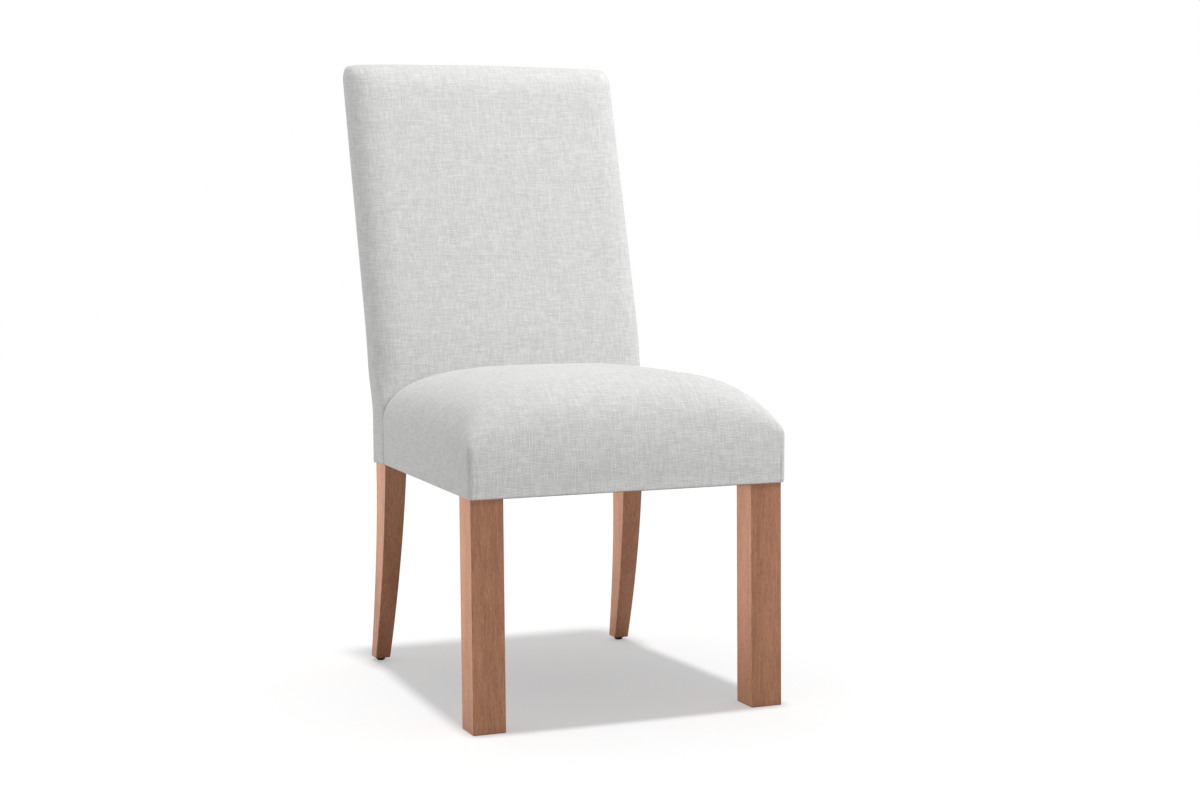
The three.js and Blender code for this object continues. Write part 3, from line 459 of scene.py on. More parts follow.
glide_profile = [(0, 0)]
for turn in spread(0, math.pi / 2, 8):
    radius = glide_flat + (glide_radius - glide_flat) * math.sin(turn)
    glide_profile.append((radius, dome_rise * (1 - math.cos(turn))))
glide_profile += [(glide_radius, glide_height - glide_ease), (glide_radius - glide_ease, glide_height)]
glide_profile += nail_profile
for side, name in ((1, "right"), (-1, "left")):
    foot_x = side * (seat_rear_width / 2 - foot_width / 2)
    foot_y = front_face + frame_depth + foot_sweep - foot_depth / 2
    foot_centre = Vector((foot_x, foot_y, 0))
    button = spun(f"glide_button_{name}", glide_profile, foot_centre, glide_steps, nylon)
    finish_piece(button, "glide_plastic", f"glide_{name}")


# Webbing: stretched polypropylene straps, basket woven over the seat frame and stapled to the
# tops of its rails, with four straps across the back posts.
fit = 0.0003
seat_front_width = 0.470
leg_section = 0.0475
rear_rail_depth = 0.034
strap_width = 0.050
strap_thickness = 0.0016
strap_count = 4
strap_margin = 0.022
strap_end_set = 0.0025
cross_reach = 0.012
strap_points = 120
wave_steepness = 2.2
low_strap = rail_top + fit
strap_lift = strap_thickness + fit


def ridges(length, pitch):
    """Rises and falls from 0 to 1 and back in every pitch of a length."""
    return ((length * (2 * math.pi / pitch)).sine() + 1) * 0.5


strap_finish, bench = new_finish("webbing")
across, along, _ = bench.parts(bench.cloth_chart())
rib = ridges(across, 0.0016)
pick = ridges(along, 0.0021)
stripe = bench.smooth_step((across.size() - 0.016).size() * -1, -0.0020, -0.0016)
dusty = bench.speckle(bench.vector(across, along, 0), 600)
# The ribs and picks make the colour lighter on their crests and darker in the grooves between them, which
# is painted shade; the dusty speckle is the strap's own.
rib_shade_and_dust = rib * 0.5 + pick * 0.3 + dusty * 0.2
strap_tone = bench.blend(rib_shade_and_dust, (0.030, 0.027, 0.024), (0.105, 0.096, 0.085))
bench.surface(
    Base_Color=bench.blend(stripe, strap_tone, (0.30, 0.25, 0.17)),
    Roughness=0.62 + rib * 0.2,
    Normal=bench.relief(0.6, 0.0004, rib * pick),
)

strap_sizes = {
    "Length": 0.5,
    "Width": strap_width,
    "Thickness": strap_thickness,
    "First Crossing": 0.1,
    "Crossing Pitch": 0.1,
    "Lift": 0.0,
    "Finish": strap_finish,
}
strap_tree, size = shape_tree("woven_strap", strap_sizes)
straight = strap_tree.node(
    "GeometryNodeCurvePrimitiveLine",
    None,
    {"End": strap_tree.vector(0, size["Length"], 0)},
)
path = strap_tree.node("GeometryNodeResampleCurve", None, {"Curve": straight, "Count": strap_points})
_, run, _ = strap_tree.parts(strap_tree.node("GeometryNodeInputPosition"))
phase = (run - size["First Crossing"]) * math.pi / size["Crossing Pitch"]
wave = (phase + math.pi / 2).sine() * wave_steepness
ripple = wave.kept(-1, 1) * size["Lift"] * 0.5 + size["Lift"].size() * 0.5
woven = strap_tree.node(
    "GeometryNodeSetPosition",
    None,
    {"Geometry": path, "Position": strap_tree.vector(0, run, ripple)},
)
band = strap_tree.node(
    "GeometryNodeCurvePrimitiveQuadrilateral",
    None,
    {"Width": size["Width"], "Height": size["Thickness"]},
)


def swept_along(bench, path, section):
    """A solid of this section along a path, closed at its ends."""
    return bench.node(
        "GeometryNodeCurveToMesh",
        None,
        {"Curve": path, "Profile Curve": section, "Fill Caps": True},
    )


end_tree(strap_tree, swept_along(strap_tree, woven, band), size["Finish"])


def lay_strap(part, mark, sizes, place):
    """Grows one strap along +Y from the origin, maps its weave and moves it to its place."""
    strap = grown(f"{part}_strap_{mark}", strap_tree, {**strap_sizes, **sizes})
    tidied(strap)
    chart = strap.data.uv_layers.new(name="weave")
    for loop in strap.data.loops:
        spot = strap.data.vertices[loop.vertex_index].co
        chart.data[loop.index].uv = (spot.x, spot.y)
    for point in strap.data.vertices:
        point.co = place(point.co)
    tidied(strap)
    finish_piece(strap, "webbing", f"{part}_webbing_{mark}")


def side_line(y):
    """Half the seat frame's width at a distance behind the front legs' face."""
    share = (y - leg_section) / (post_front - leg_section)
    return (seat_front_width + (seat_rear_width - seat_front_width) * share) / 2


def frame_half_width(y):
    return side_line(min(max(y, leg_section), post_front))


rear_rail_end = post_front + rear_rail_depth
long_span = seat_rear_width / 2 - strap_margin
long_pitch = 2 * long_span / strap_count
cross_pitch = (post_front + cross_reach - strap_margin) / strap_count
strap_middle = low_strap + strap_thickness / 2
first_over = [strap_lift, -strap_lift] * 2
for i, lift in enumerate(first_over):
    across = -long_span + long_pitch * (i + 0.5)
    start = front_face + strap_end_set
    strap_plan = {
        "Length": rear_rail_end - 2 * strap_end_set,
        "First Crossing": strap_margin + cross_pitch / 2 - strap_end_set,
        "Crossing Pitch": cross_pitch,
        "Lift": lift,
    }
    lay_strap(
        "seat",
        f"long_{i + 1}",
        strap_plan,
        lambda spot: Vector((spot.x + across, start + spot.y, strap_middle + spot.z)),
    )
for i, lift in enumerate(first_over):
    behind = strap_margin + cross_pitch * (i + 0.5)
    half = frame_half_width(behind + strap_width / 2) - strap_end_set
    strap_plan = {
        "Length": 2 * half,
        "First Crossing": half - long_span + long_pitch / 2,
        "Crossing Pitch": long_pitch,
        "Lift": -lift,
    }
    lay_strap(
        "seat",
        f"cross_{i + 1}",
        strap_plan,
        lambda spot: Vector((half - spot.y, front_face + behind + spot.x, strap_middle + spot.z)),
    )


def lean(z):
    """How far the back leans rearwards at a height: upright, a bend, then a straight rake."""
    bend = min(max(z - bend_start, 0), bend_rise)
    return rake * (bend * bend / (2 * bend_rise) + max(0, z - bend_start - bend_rise))


rise_y = math.sin(math.atan(rake))
rise_z = math.cos(math.atan(rake))
for i in range(strap_count):
    low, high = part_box(f"back_webbing_{i + 1}")
    middle = (low + high) / 2

    def on_back(spot):
        """Turns a strap across the back, its face square to the rake."""
        y = spot.x * rise_y - spot.z * rise_z
        z = spot.x * rise_z + spot.z * rise_y
        return middle + Vector((high.x - spot.y, y, z))

    lay_strap("back", f"{i + 1}", {"Length": 2 * high.x}, on_back)


# Platform cloths: undyed cotton cloth stapled over the webbing of the seat and of the back, so
# that the foam doesn't wear on the straps.
calico, bench = new_finish("calico")
across, along, _ = bench.parts(bench.cloth_chart())
warp = ridges(across, 0.0012)
weft = ridges(along, 0.0012)
husks = bench.smooth_step(bench.speckle(bench.vector(across, along, 0), 700), 0.66, 0.74)
# The warp and weft ridges make the colour lighter on the threads' crests and darker in the gaps between
# them, which is painted shade; the husks are the cloth's own dark specks.
plain = bench.blend(warp * 0.5 + weft * 0.5, (0.56, 0.50, 0.40), (0.72, 0.67, 0.57))
bench.surface(
    Base_Color=bench.blend(husks, plain, (0.25, 0.19, 0.12)),
    Roughness=0.88 + warp * 0.08,
    Normal=bench.relief(0.5, 0.0003, warp * weft),
)
calico_thickness = 0.0007
platform_margin = 0.003
platform_stand = 0.001


def cloth_from_patches(name, patches, finish, weld=0.0002):
    """A mesh of quad patches. Each is a grid of points and a grid of lengths along its cloth."""
    shape = bmesh.new()
    chart = shape.loops.layers.uv.new("weave")
    for points, lengths in patches:
        grid = [[shape.verts.new(point) for point in row] for row in points]
        for j in range(len(grid) - 1):
            for i in range(len(grid[0]) - 1):
                spots = [(j, i), (j, i + 1), (j + 1, i + 1), (j + 1, i)]
                face = shape.faces.new([grid[a][b] for a, b in spots])
                face.smooth = True
                for loop, (a, b) in zip(face.loops, spots):
                    loop[chart].uv = lengths[a][b]
    bmesh.ops.remove_doubles(shape, verts=shape.verts, dist=weld)
    gone = [face for face in shape.faces if face.calc_area() < 1e-10]
    bmesh.ops.delete(shape, geom=gone, context="FACES")
    mesh = bpy.data.meshes.new(name)
    shape.to_mesh(mesh)
    shape.free()
    mesh.materials.append(finish)
    return add_object(name, mesh)


def along_lengths(points):
    """Running length along a row of points."""
    lengths = [0.0]
    for before, after in zip(points, points[1:]):
        lengths.append(lengths[-1] + (after - before).length)
    return lengths


def flat_patch(rows):
    """A patch whose cloth lengths are its own straight distances."""
    run = along_lengths([row[len(row) // 2] for row in rows])
    return rows, [[(point.x, up) for point in row] for up, row in zip(run, rows)]


def cloth_row(start, end, y, z, count):
    """A level row of points across the chair, at a depth behind the front legs' face."""
    return [Vector((x, front_face + y, z)) for x in spread(start, end, count)]


def thickened(thing, thickness):
    wall = thing.modifiers.new("cloth_thickness", "SOLIDIFY")
    wall.thickness = thickness
    wall.offset = -1.0


cloth_height = low_strap + 2 * strap_lift + platform_stand
post_inner = seat_rear_width / 2 - post_width
seat_rows = []
for y in spread(platform_margin, rear_rail_end - platform_margin, 40):
    half = frame_half_width(y) - platform_margin if y < post_front else post_inner - fit
    seat_rows.append(cloth_row(-half, half, y, cloth_height, 36))
seat_cloth = cloth_from_patches("seat_platform", [flat_patch(seat_rows)], calico)
thickened(seat_cloth, calico_thickness)
finish_piece(seat_cloth, "platform_cloth", "seat_platform_cloth")

cloth_low, cloth_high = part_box("back_platform_cloth")
back_cloth_front = upper_post_front - strap_thickness - 2 * fit - platform_stand
back_rows = []
for z in spread(cloth_high.z, cloth_low.z, 50):
    back_rows.append(cloth_row(cloth_high.x, cloth_low.x, back_cloth_front + lean(z), z, 40))
back_cloth = cloth_from_patches("back_platform", [flat_patch(back_rows)], calico)
thickened(back_cloth, calico_thickness)
finish_piece(back_cloth, "platform_cloth", "back_platform_cloth")


# Foam: a cut block of polyurethane foam on the seat frame and a thinner pad folded over the
# crest rail, both glued down. The crowned shape of the chair comes from these two.
foam, bench = new_finish("foam")
place = bench.object_place()
cells = bench.cells(place, 520)
foam_tone = bench.blend(bench.speckle(place, 26, 3.0), (0.80, 0.66, 0.36), (0.88, 0.78, 0.52))
bench.surface(
    Base_Color=bench.blend(cells * 0.5, foam_tone, (0.60, 0.46, 0.22)),
    Roughness=0.9 + cells * 0.08,
    Normal=bench.relief(0.7, 0.0008, cells),
)


def foam_block(name, node, voxel):
    """The CAD's block, remeshed evenly, with its cut edges eased as soft foam is."""
    block = add_object(name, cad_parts[node].data.copy())
    block.data.materials.clear()
    block.data.materials.append(foam)
    tidied(block)
    even = block.modifiers.new("even_mesh", "REMESH")
    even.mode = "VOXEL"
    even.voxel_size = voxel
    soft = block.modifiers.new("eased", "SMOOTH")
    soft.factor = 0.5
    soft.iterations = 4
    made_plain(block)
    shade_smooth(block)
    finish_piece(block, "foam", node)


foam_block("seat_foam_block", "seat_foam", 0.007)
foam_block("back_foam_pad", "back_foam", 0.006)


# Batting: bonded polyester wadding, a thick layer round the seat foam and a thin one round the
# back. It fills the space under the cover and softens every edge.
wadding, bench = new_finish("batting")
place = bench.object_place()
strands = bench.speckle(place, 380, 6.0)
clumps = bench.speckle(place, 60, 3.0)
bench.surface(
    Base_Color=bench.blend(strands, (0.74, 0.74, 0.72), (0.90, 0.90, 0.88)),
    Roughness=0.93 + clumps * 0.06,
    Normal=bench.relief(0.8, 0.0015, strands * 0.6 + clumps * 0.8),
)
batting_inset = 0.0026
batting_weld = 0.0004
batting_bottom = hem_height + 0.002
batting_front_bottom = 0.4405
seat_loft = 0.0075
back_loft = 0.0028
rear_loft = 0.0030
seat_edge = rail_top + fit
seat_set = -0.010
front_stand = 0.0044
rear_stand = 0.0034
side_roll = 0.169
front_roll = 0.108
roll_power = 2.33
seat_rise = 0.0912
rear_fall = 0.0132
fall_from = 0.230
seat_corner = 0.010
tuck_radius = 0.009
tuck_start = 0.40
tuck_run = 0.065
hem_round = 0.0012
wall_draw = 0.0008
hem_low = 0.0013
turn_steps = [(0.0012, 0.0006), (0.0035, 0.0012), (0.005, hem_low)]
rear_steps = [(0.0021, 0.0006), (0.0008, 0.0080)]
pleat_set = 0.0014
pleat_width = 0.0011
pleat_top = 0.392
pleat_height = 0.035
skirt_ease = 0.03
skirt_least = 0.2
rear_build = 0.0089
back_thickness = 0.062
back_rear = frame_depth + rear_build
back_front = back_rear - back_thickness


def limited(share):
    return min(max(share, 0.0), 1.0)


def eased(share):
    """A share between 0 and 1 that starts and ends level."""
    share = limited(share)
    return share * share * (3 - 2 * share)


def cover_half_width(y):
    share = (y - seat_set) / (post_front - seat_set)
    return side_line(y) + front_stand + (rear_stand - front_stand) * share


def roll_stations(inset, roll, steps, flat_end, flat_steps):
    """Distances from an edge and shares of the full rise there: a full roll, then level."""
    stations = []
    for angle in spread(0, math.pi / 2, steps)[:-1]:
        run = (roll - inset) * (1 - math.cos(angle) ** (2 / roll_power))
        stations.append((run, math.sin(angle) ** (2 / roll_power)))
    return stations + [(run, 1.0) for run in spread(roll - inset, flat_end, flat_steps)]


def turned_round(points, marks):
    return [row[::-1] for row in points], [row[::-1] for row in marks]


def seat_patches(inset, bottom, hem_turn, skirt, steps, pleat=0.0):
    """The seat's cloth in patches: crown, side walls and front wall turned under, rear skirt."""
    corner = seat_corner - inset
    front = seat_set + inset
    rear = back_front - 2 * fit
    rows = []
    for run, share in roll_stations(inset, front_roll, steps, rear - front - tuck_radius, 2 * steps):
        rows.append((front + run, share, 0.0))
    for angle in spread(0, math.pi / 2, 4)[1:]:
        drop = tuck_radius * (1 - math.cos(angle))
        rows.append((rear - tuck_radius * (1 - math.sin(angle)), 1.0, drop))
    crown = []
    for y, share, drop in rows:
        into = max(0.0, corner - (y - front))
        rounding = corner - math.sqrt(max(0.0, corner**2 - into**2))
        half = cover_half_width(y) - inset - rounding
        behind = max(0.0, y - fall_from) / (post_front - fall_from)
        rise = seat_rise - rear_fall * behind**2 - inset
        lean_share = max(0.0, (y - tuck_start) / tuck_run)
        right = []
        for run, lift in roll_stations(inset, side_roll, steps, half, steps // 3):
            z = seat_edge + rise * lift * share - drop * lift
            right.append(Vector((half - run, y + lean(z) * lean_share, z)))
        left = [Vector((-spot.x, spot.y, spot.z)) for spot in right]
        crown.append(left + right[-2::-1])
    middle = len(crown[0]) // 2
    column_run = [along_lengths(column) for column in zip(*crown)]
    lengths = []
    for j, row in enumerate(crown):
        run = along_lengths(row)
        lengths.append([(run[i] - run[middle], column_run[i][j]) for i in range(len(row))])
    patches = [(crown, lengths)]

    levels = []
    for share in spread(0.0, 1.0, 11):
        z = seat_edge + (bottom + hem_round - seat_edge) * share
        levels.append((wall_draw * share, z, seat_edge - z))
    for reach, low in (*turn_steps, (hem_turn, hem_low)):
        levels.append((wall_draw + reach, bottom + hem_round - low, seat_edge - bottom + reach))

    def wall(rim, ways, measure):
        """The cloth from a rim down to the hem and under the rail, and its lengths."""
        points = []
        marks = []
        for inward, z, fall in levels:
            row = [spot + way * inward for spot, way in zip(rim, ways)]
            for spot in row:
                spot.z = z
            points.append(row)
            marks.append([measure(i, fall) for i in range(len(rim))])
        return points, marks

    for end, sign in ((0, -1), (-1, 1)):
        rim = [row[end] for row in crown]
        base = [row[end] for row in lengths]
        ways = []
        for spot in rim:
            into = max(0.0, corner - (spot.y - front)) / corner
            ways.append(Vector((-sign * math.sqrt(max(0.0, 1 - into**2)), into, 0)))
        for under, behind in rear_steps:
            rim.append(rim[-1] + Vector((-sign * under, behind, 0)))
            ways.append(Vector((-sign, 0, 0)))
            base.append((base[-1][0], base[-1][1] + behind))
        side = wall(rim, ways, lambda i, fall: (base[i][0] + sign * fall, base[i][1]))
        patches.append(turned_round(*side) if sign > 0 else side)

    ways = [Vector((0, 1, 0))] * len(crown[0])
    points, marks = wall(crown[0], ways, lambda i, fall: (lengths[0][i][0], -fall))
    for row in points:
        for spot in row:
            from_corner = abs(abs(spot.x) - abs(row[0].x))
            fold = math.exp(-(((from_corner - pleat_set) / pleat_width) ** 2))
            spot.y += pleat * limited((pleat_top - spot.z) / pleat_height) * fold
    patches.append(turned_round(points, marks))

    points = []
    marks = []
    for fall in spread(0.0, skirt, 6):
        shares = [min(1.0, (spot.z - seat_edge) / skirt_ease + skirt_least) for spot in crown[-1]]
        hung = [fall * share for share in shares]
        points.append([spot - Vector((0, 0, drop)) for spot, drop in zip(crown[-1], hung)])
        marks.append([(x, y + fall) for x, y in lengths[-1]])
    patches.append((points, marks))
    shift = Vector((0, front_face, 0))
    return [([[spot + shift for spot in row] for row in points], marks) for points, marks in patches]


def padded_piece(piece, thickness, slot, node):
    thickened(piece, thickness)
    finish_piece(piece, slot, node)


seat_layer = cloth_from_patches(
    "seat_batting_layer",
    seat_patches(batting_inset, batting_bottom, hem_turn=0.006, skirt=0.012, steps=18),
    wadding,
    batting_weld,
)
tidied(seat_layer)
padded_piece(seat_layer, seat_loft, "batting", "seat_batting")

back_height = 0.957
top_roll = 0.026
roll_start = back_height - top_roll
roll_angles = [math.radians(angle) for angle in (12, 26, 40.8, 52, 64, 77, 90)]
seam_angle = roll_angles[2]
top_roll_in = 0.010
top_crown = 0.0034
crown_turn = 0.5
top_half = 0.2188
low_stand = 0.0045
stand_growth = 0.0048
edge_radius = 0.006
edge_growth = 0.030
edge_tightening = 0.016
rear_radius = 0.008
seam_margin = 0.003
front_bulge = 0.004
dart_start = 0.918
dart_height = 0.024
dart_way = 0.7
top_depth = 0.028
top_puff = 0.0006
corner_pull = 8
corner_rise = 5
lip_step = 0.005


def upper_share(z):
    """0 at the seat and 1 past the middle of the bend, where the back is fully padded."""
    return eased((z - bend_start) / (bend_rise / 2))


def back_half_width(z):
    return seat_rear_width / 2 + (low_stand + stand_growth * upper_share(z))


def crown_at(x):
    """Rise of the back's top edge above its ends."""
    return top_crown * (1 - (x / top_half) ** 2)


def back_ring(inset, height, roll_angle, crown_share, counts):
    """One level ring of the back's cloth, from the left rear seam round the front to the right."""
    up = upper_share(height)
    rolled = 1 - math.cos(roll_angle)
    half = back_half_width(height) - inset - (top_roll_in - inset) * rolled
    front_radius = edge_radius + edge_growth * up - inset - edge_tightening * rolled
    corner = rear_radius - inset
    front = back_front + inset + (top_roll - inset) * rolled
    rear = back_rear - inset - corner * rolled
    bulge = front_bulge * up * (1 - crown_share)

    def arc(x, y, radius, start, count):
        turns = [start + turn for turn in spread(0, math.pi / 2, count)[1:]]
        return [(x + radius * math.cos(turn), y + radius * math.sin(turn)) for turn in turns]

    left = [(-(half - corner - seam_margin), rear), (-(half - corner), rear)]
    left += arc(-(half - corner), rear - corner, corner, math.pi / 2, counts["rear"])
    left += [(-half, y) for y in spread(rear - corner, front + front_radius, counts["side"])[1:]]
    reach = half - front_radius
    left += arc(-reach, front + front_radius, front_radius, math.pi, counts["front"])
    span = []
    for x in spread(-reach, reach, counts["span"])[1:]:
        span.append((x, front - bulge * (1 - (x / reach) ** 2)))
    right = [(-x, y) for x, y in reversed(left[:-1])]
    points = []
    for x, y in left + span + right:
        crown = top_crown * crown_share * (1 - (x / half) ** 2)
        z = height + (top_roll - inset) * math.sin(roll_angle) + crown
        points.append(Vector((x, y + lean(z) + front_face, z)))
    return points


def back_patches(inset, bottom, front_bottom, counts):
    """The back's cloth in patches: front and sides, the two sides below them, the top, the lip."""
    below = 9
    heights = spread(bottom, front_bottom, below)
    heights += spread(front_bottom, roll_start, counts["rows"])[1:]
    rings = [back_ring(inset, height, 0.0, 0.0, counts) for height in heights]
    for angle in roll_angles:
        rings.append(back_ring(inset, roll_start, angle, min(1.0, angle / crown_turn), counts))
    dart = 1 + counts["rear"] + counts["side"] + counts["front"] * 2 // 3
    for ring in rings:
        for spot, across in ((ring[dart], 1), (ring[-1 - dart], -1)):
            high = limited((spot.z - dart_start) / dart_height)
            spot += Vector((across * dart_way, dart_way, 0)) * (counts["pinch"] * high * high)
    middle = len(rings[0]) // 2
    marks = []
    for ring, up in zip(rings, along_lengths([ring[middle] for ring in rings])):
        run = along_lengths(ring)
        marks.append([(length - run[middle], up) for length in run])
    ends = 1 + counts["rear"] + counts["side"] + counts["front"]
    patches = [(rings[below:], marks[below:])]
    for part in (slice(0, ends + 1), slice(-1 - ends, None)):
        lower = [ring[part] for ring in rings[: below + 1]]
        patches.append((lower, [row[part] for row in marks[: below + 1]]))

    columns = counts["span"]
    top = rings[-1]
    left_end = top[ends::-1]
    right_end = top[-1 - ends:]
    top_marks = marks[-1][ends: ends + columns + 1]
    cap = []
    cap_marks = []
    for row, share in enumerate(spread(0, 1, ends)):
        near = min(1.0, share * corner_rise)
        line = []
        for i, across in enumerate(spread(0, 1, columns)):
            seam_x = left_end[-1].x * (1 - across) + right_end[-1].x * across
            spot = top[ends + i].lerp(Vector((seam_x, left_end[-1].y, 0)), share)
            spot = spot.lerp(left_end[row], max(0.0, 1 - across * corner_pull) * near)
            spot = spot.lerp(right_end[row], max(0.0, 1 - (1 - across) * corner_pull) * near)
            puff = top_puff * math.sin(math.pi * share)
            spot.z = roll_start + top_roll - inset + crown_at(min(abs(spot.x), top_half)) + puff
            line.append(spot)
        line[0] = left_end[row]
        line[-1] = right_end[row]
        cap.append(line)
        cap_marks.append([(x, y + share * top_depth) for x, y in top_marks])
    patches.append((cap, cap_marks))

    first = cap[-1][0].x
    shares = [(spot.x - first) / (cap[-1][-1].x - first) for spot in cap[-1]]
    lip = []
    lip_marks = []
    for step, ring in enumerate(reversed(rings[-5:])):
        line = [ring[0].lerp(ring[-1], share) for share in shares]
        for spot in line:
            spot.z += top_crown * ((ring[0].x / top_half) ** 2 - (spot.x / top_half) ** 2)
        lip.append(line)
        lip_marks.append([(x, y + step * lip_step) for x, y in cap_marks[-1]])
    patches.append((lip, lip_marks))
    return patches


batting_counts = {"rear": 2, "side": 2, "front": 4, "span": 28, "rows": 40, "pinch": 0.0}
back_layer = cloth_from_patches(
    "back_batting_layer",
    back_patches(batting_inset, batting_bottom, batting_front_bottom, batting_counts),
    wadding,
    batting_weld,
)
tidied(back_layer)
padded_piece(back_layer, back_loft, "batting", "back_batting")

rear_low, rear_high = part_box("outside_back_batting")
board_thickness = 0.003
rear_layer_y = frame_depth + fit + board_thickness + fit + (rear_loft + fit)
layer_margin = 0.001
layer_rows = []
for z in spread(rear_low.z + layer_margin, rear_high.z - layer_margin, 60):
    ends = rear_high.x - layer_margin, rear_low.x + layer_margin
    layer_rows.append(cloth_row(*ends, rear_layer_y + lean(z), z, 40))
rear_layer = cloth_from_patches("outside_back_batting_layer", [flat_patch(layer_rows)], wadding)
padded_piece(rear_layer, rear_loft, "batting", "outside_back_batting")


# Seat cover: a linen-look cloth with uneven threads, drawn over the padding, folded into a
# pleat at each front corner and stapled under the rails. It crowns and rolls over every edge.
linen, bench = new_finish("linen")
thread = 0.0021
thread_sway = 0.0030
chart = bench.cloth_chart()
across, along, _ = bench.parts(chart)
sway = (bench.speckle(chart, 14, 2.0, "2D") - 0.5) * thread_sway
warp_at = (across + sway) / thread
weft_at = (along + sway) / thread
warp_no = warp_at.floor()
weft_no = weft_at.floor()


def yarn_noise(x, y, low, high):
    """A value that varies along each yarn and from one yarn to the next."""
    return bench.smooth_step(bench.speckle(bench.vector(x, y, 0), 1.0, 1.0, "2D"), low, high)


warp_tone = yarn_noise(warp_no * 7.31, along * 42, 0.30, 0.70)
weft_tone = yarn_noise(across * 42, weft_no * 5.17 + 40, 0.30, 0.70)
warp_slub = yarn_noise(warp_no * 3.71 + 90, along * 60, 0.62, 0.70)
weft_slub = yarn_noise(across * 60, weft_no * 3.13 + 150, 0.62, 0.70)
over = (warp_no + weft_no) % 2
warp_round = (warp_at * math.pi).sine().size()
weft_round = (weft_at * math.pi).sine().size()
warp_up = warp_round * (0.55 + weft_round * 0.45)
weft_up = weft_round * (0.55 + warp_round * 0.45)
height = warp_up * over + weft_up * (1 - over)
thread_tone = warp_tone * over + weft_tone * (1 - over)
slub = (warp_slub + weft_slub).kept(0, 1)
cloud = bench.speckle(chart, 60, 2.0, "2D")
# Each yarn's tone and slubs are its own; the height term makes the colour darker in the gaps between
# threads and lighter on their crests, which is painted shade.
yarn_tone_and_gap_shade = (thread_tone * 0.38 + height * 0.40 + slub * 0.12 + cloud * 0.02 + 0.032).kept(0, 1)
bench.surface(
    Base_Color=bench.blend(yarn_tone_and_gap_shade, (0.530, 0.528, 0.512), (0.870, 0.870, 0.860)),
    Roughness=0.86 + thread_tone * 0.1,
    Normal=bench.relief(0.55, 0.00045, height * 0.7 + slub * 0.5),
    Sheen_Weight=0.25,
    Sheen_Roughness=0.5,
)
cover_inset = 0.0008
cover_thickness = 0.0011
cover_weld = 0.0002
cloth_nature = {
    "quality": 5,
    "mass": 0.3,
    "tension_stiffness": 25,
    "compression_stiffness": 25,
    "shear_stiffness": 12,
    "bending_stiffness": 2,
    "use_pressure": True,
    "uniform_pressure_force": 4,
    "vertex_group_mass": "held",
}
swell_frames = 20
loose_hold = 0.12
least_swell = 0.0002
unevenness = 0.16


def swollen(piece, reach):
    """Cloth simulation: the padding's push swells the cloth, by at most its reach at each place."""
    points = piece.data.vertices
    limits = [reach(point.co) for point in points]
    start = [point.co.copy() for point in points]
    faced = [point.normal.copy() for point in points]
    group = piece.vertex_groups.new(name="held")
    for point, limit in zip(points, limits):
        group.add([point.index], loose_hold if limit > least_swell else 1.0, "REPLACE")
    cloth = piece.modifiers.new("cloth", "CLOTH")
    for name, setting in cloth_nature.items():
        setattr(cloth.settings, name, setting)
    cloth.settings.effector_weights.gravity = 0
    cloth.point_cache.frame_start = 1
    cloth.point_cache.frame_end = swell_frames
    for step in range(1, swell_frames + 1):
        bpy.context.scene.frame_set(step)
    shown = piece.evaluated_get(bpy.context.evaluated_depsgraph_get())
    targets = [point.co.copy() for point in shown.data.vertices]
    for point, target, outward, limit in zip(points, targets, faced, limits):
        move = target - point.co
        if move.length > limit:
            move *= limit / move.length
        sunk = min(0.0, move.dot(outward) + least_swell)
        point.co += move - outward * sunk
    piece.modifiers.clear()
    bpy.context.scene.frame_set(1)
    for point, place, outward, limit in zip(points, start, faced, limits):
        uneven = noise.noise(place * 17) + 0.5 * noise.noise(place * 43)
        point.co += outward * (uneven * limit * unevenness)


def cover_piece(piece, reach, node):
    """Swells a sewn cover, makes its mesh finer and gives the cloth its thickness."""
    tidied(piece, cover_weld)
    swollen(piece, reach)
    finer = piece.modifiers.new("finer", "SUBSURF")
    finer.levels = 1
    finer.render_levels = 1
    padded_piece(piece, cover_thickness, "linen", node)


crease_y = front_face + back_front
seat_swell = 0.0035
hem_hold = 0.003
hem_fade = 0.050
crease_hold = 0.004
crease_fade = 0.035


def seat_reach(spot):
    """How far the seat's cloth may swell at a place: not at the hem, nor where it is tucked in."""
    from_hem = eased((spot.z - hem_height - hem_hold) / hem_fade)
    from_crease = eased((crease_y - crease_hold - spot.y) / crease_fade)
    return seat_swell * min(from_hem, from_crease)


seat_skin = cloth_from_patches(
    "seat_upholstery",
    seat_patches(cover_inset, hem_height, hem_turn=0.024, skirt=0.020, steps=30, pleat=0.0013),
    linen,
)
cover_piece(seat_skin, seat_reach, "seat_cover")


# Inside-back cover: the same linen in one piece over the front, top and sides of the back,
# pinched in at the two top corners and pulled round to the rear, where it ends at a seam.
back_counts = {"rear": 3, "side": 3, "front": 6, "span": 54, "rows": 62, "pinch": 0.0026}
back_swell = 0.0030
seam_hold = 0.003
seam_fade = 0.022
back_hem_hold = 0.004
back_hem_fade = 0.090
top_start = 0.915
top_fade = 0.035
top_tightness = 0.75


def back_reach(spot):
    """How far the back's cloth may swell at a place: not at the seam or hem, little at the top."""
    behind = spot.y - front_face - lean(spot.z)
    from_seam = eased((back_rear - seam_hold - behind) / seam_fade)
    from_hem = eased((spot.z - hem_height - back_hem_hold) / back_hem_fade)
    near_top = eased((spot.z - top_start) / top_fade)
    return back_swell * min(from_seam, from_hem) * (1 - top_tightness * near_top)


back_skin = cloth_from_patches(
    "inside_back_upholstery",
    back_patches(cover_inset, hem_height, front_bottom=0.400, counts=back_counts),
    linen,
)
cover_piece(back_skin, back_reach, "back_cover")


# Outside-back board: a sheet of fibreboard stapled to the posts and the crest rail, under the
# outside back. It keeps the rear of the chair flat.
fibreboard, bench = new_finish("fibreboard")
pulp = bench.speckle(bench.object_place(), 520, 5.0)
bench.surface(
    Base_Color=bench.blend(pulp, (0.20, 0.135, 0.078), (0.38, 0.28, 0.18)),
    Roughness=0.74 + pulp * 0.18,
    Normal=bench.relief(0.4, 0.0003, pulp),
)
refinished(fibreboard, "outside_back_board")


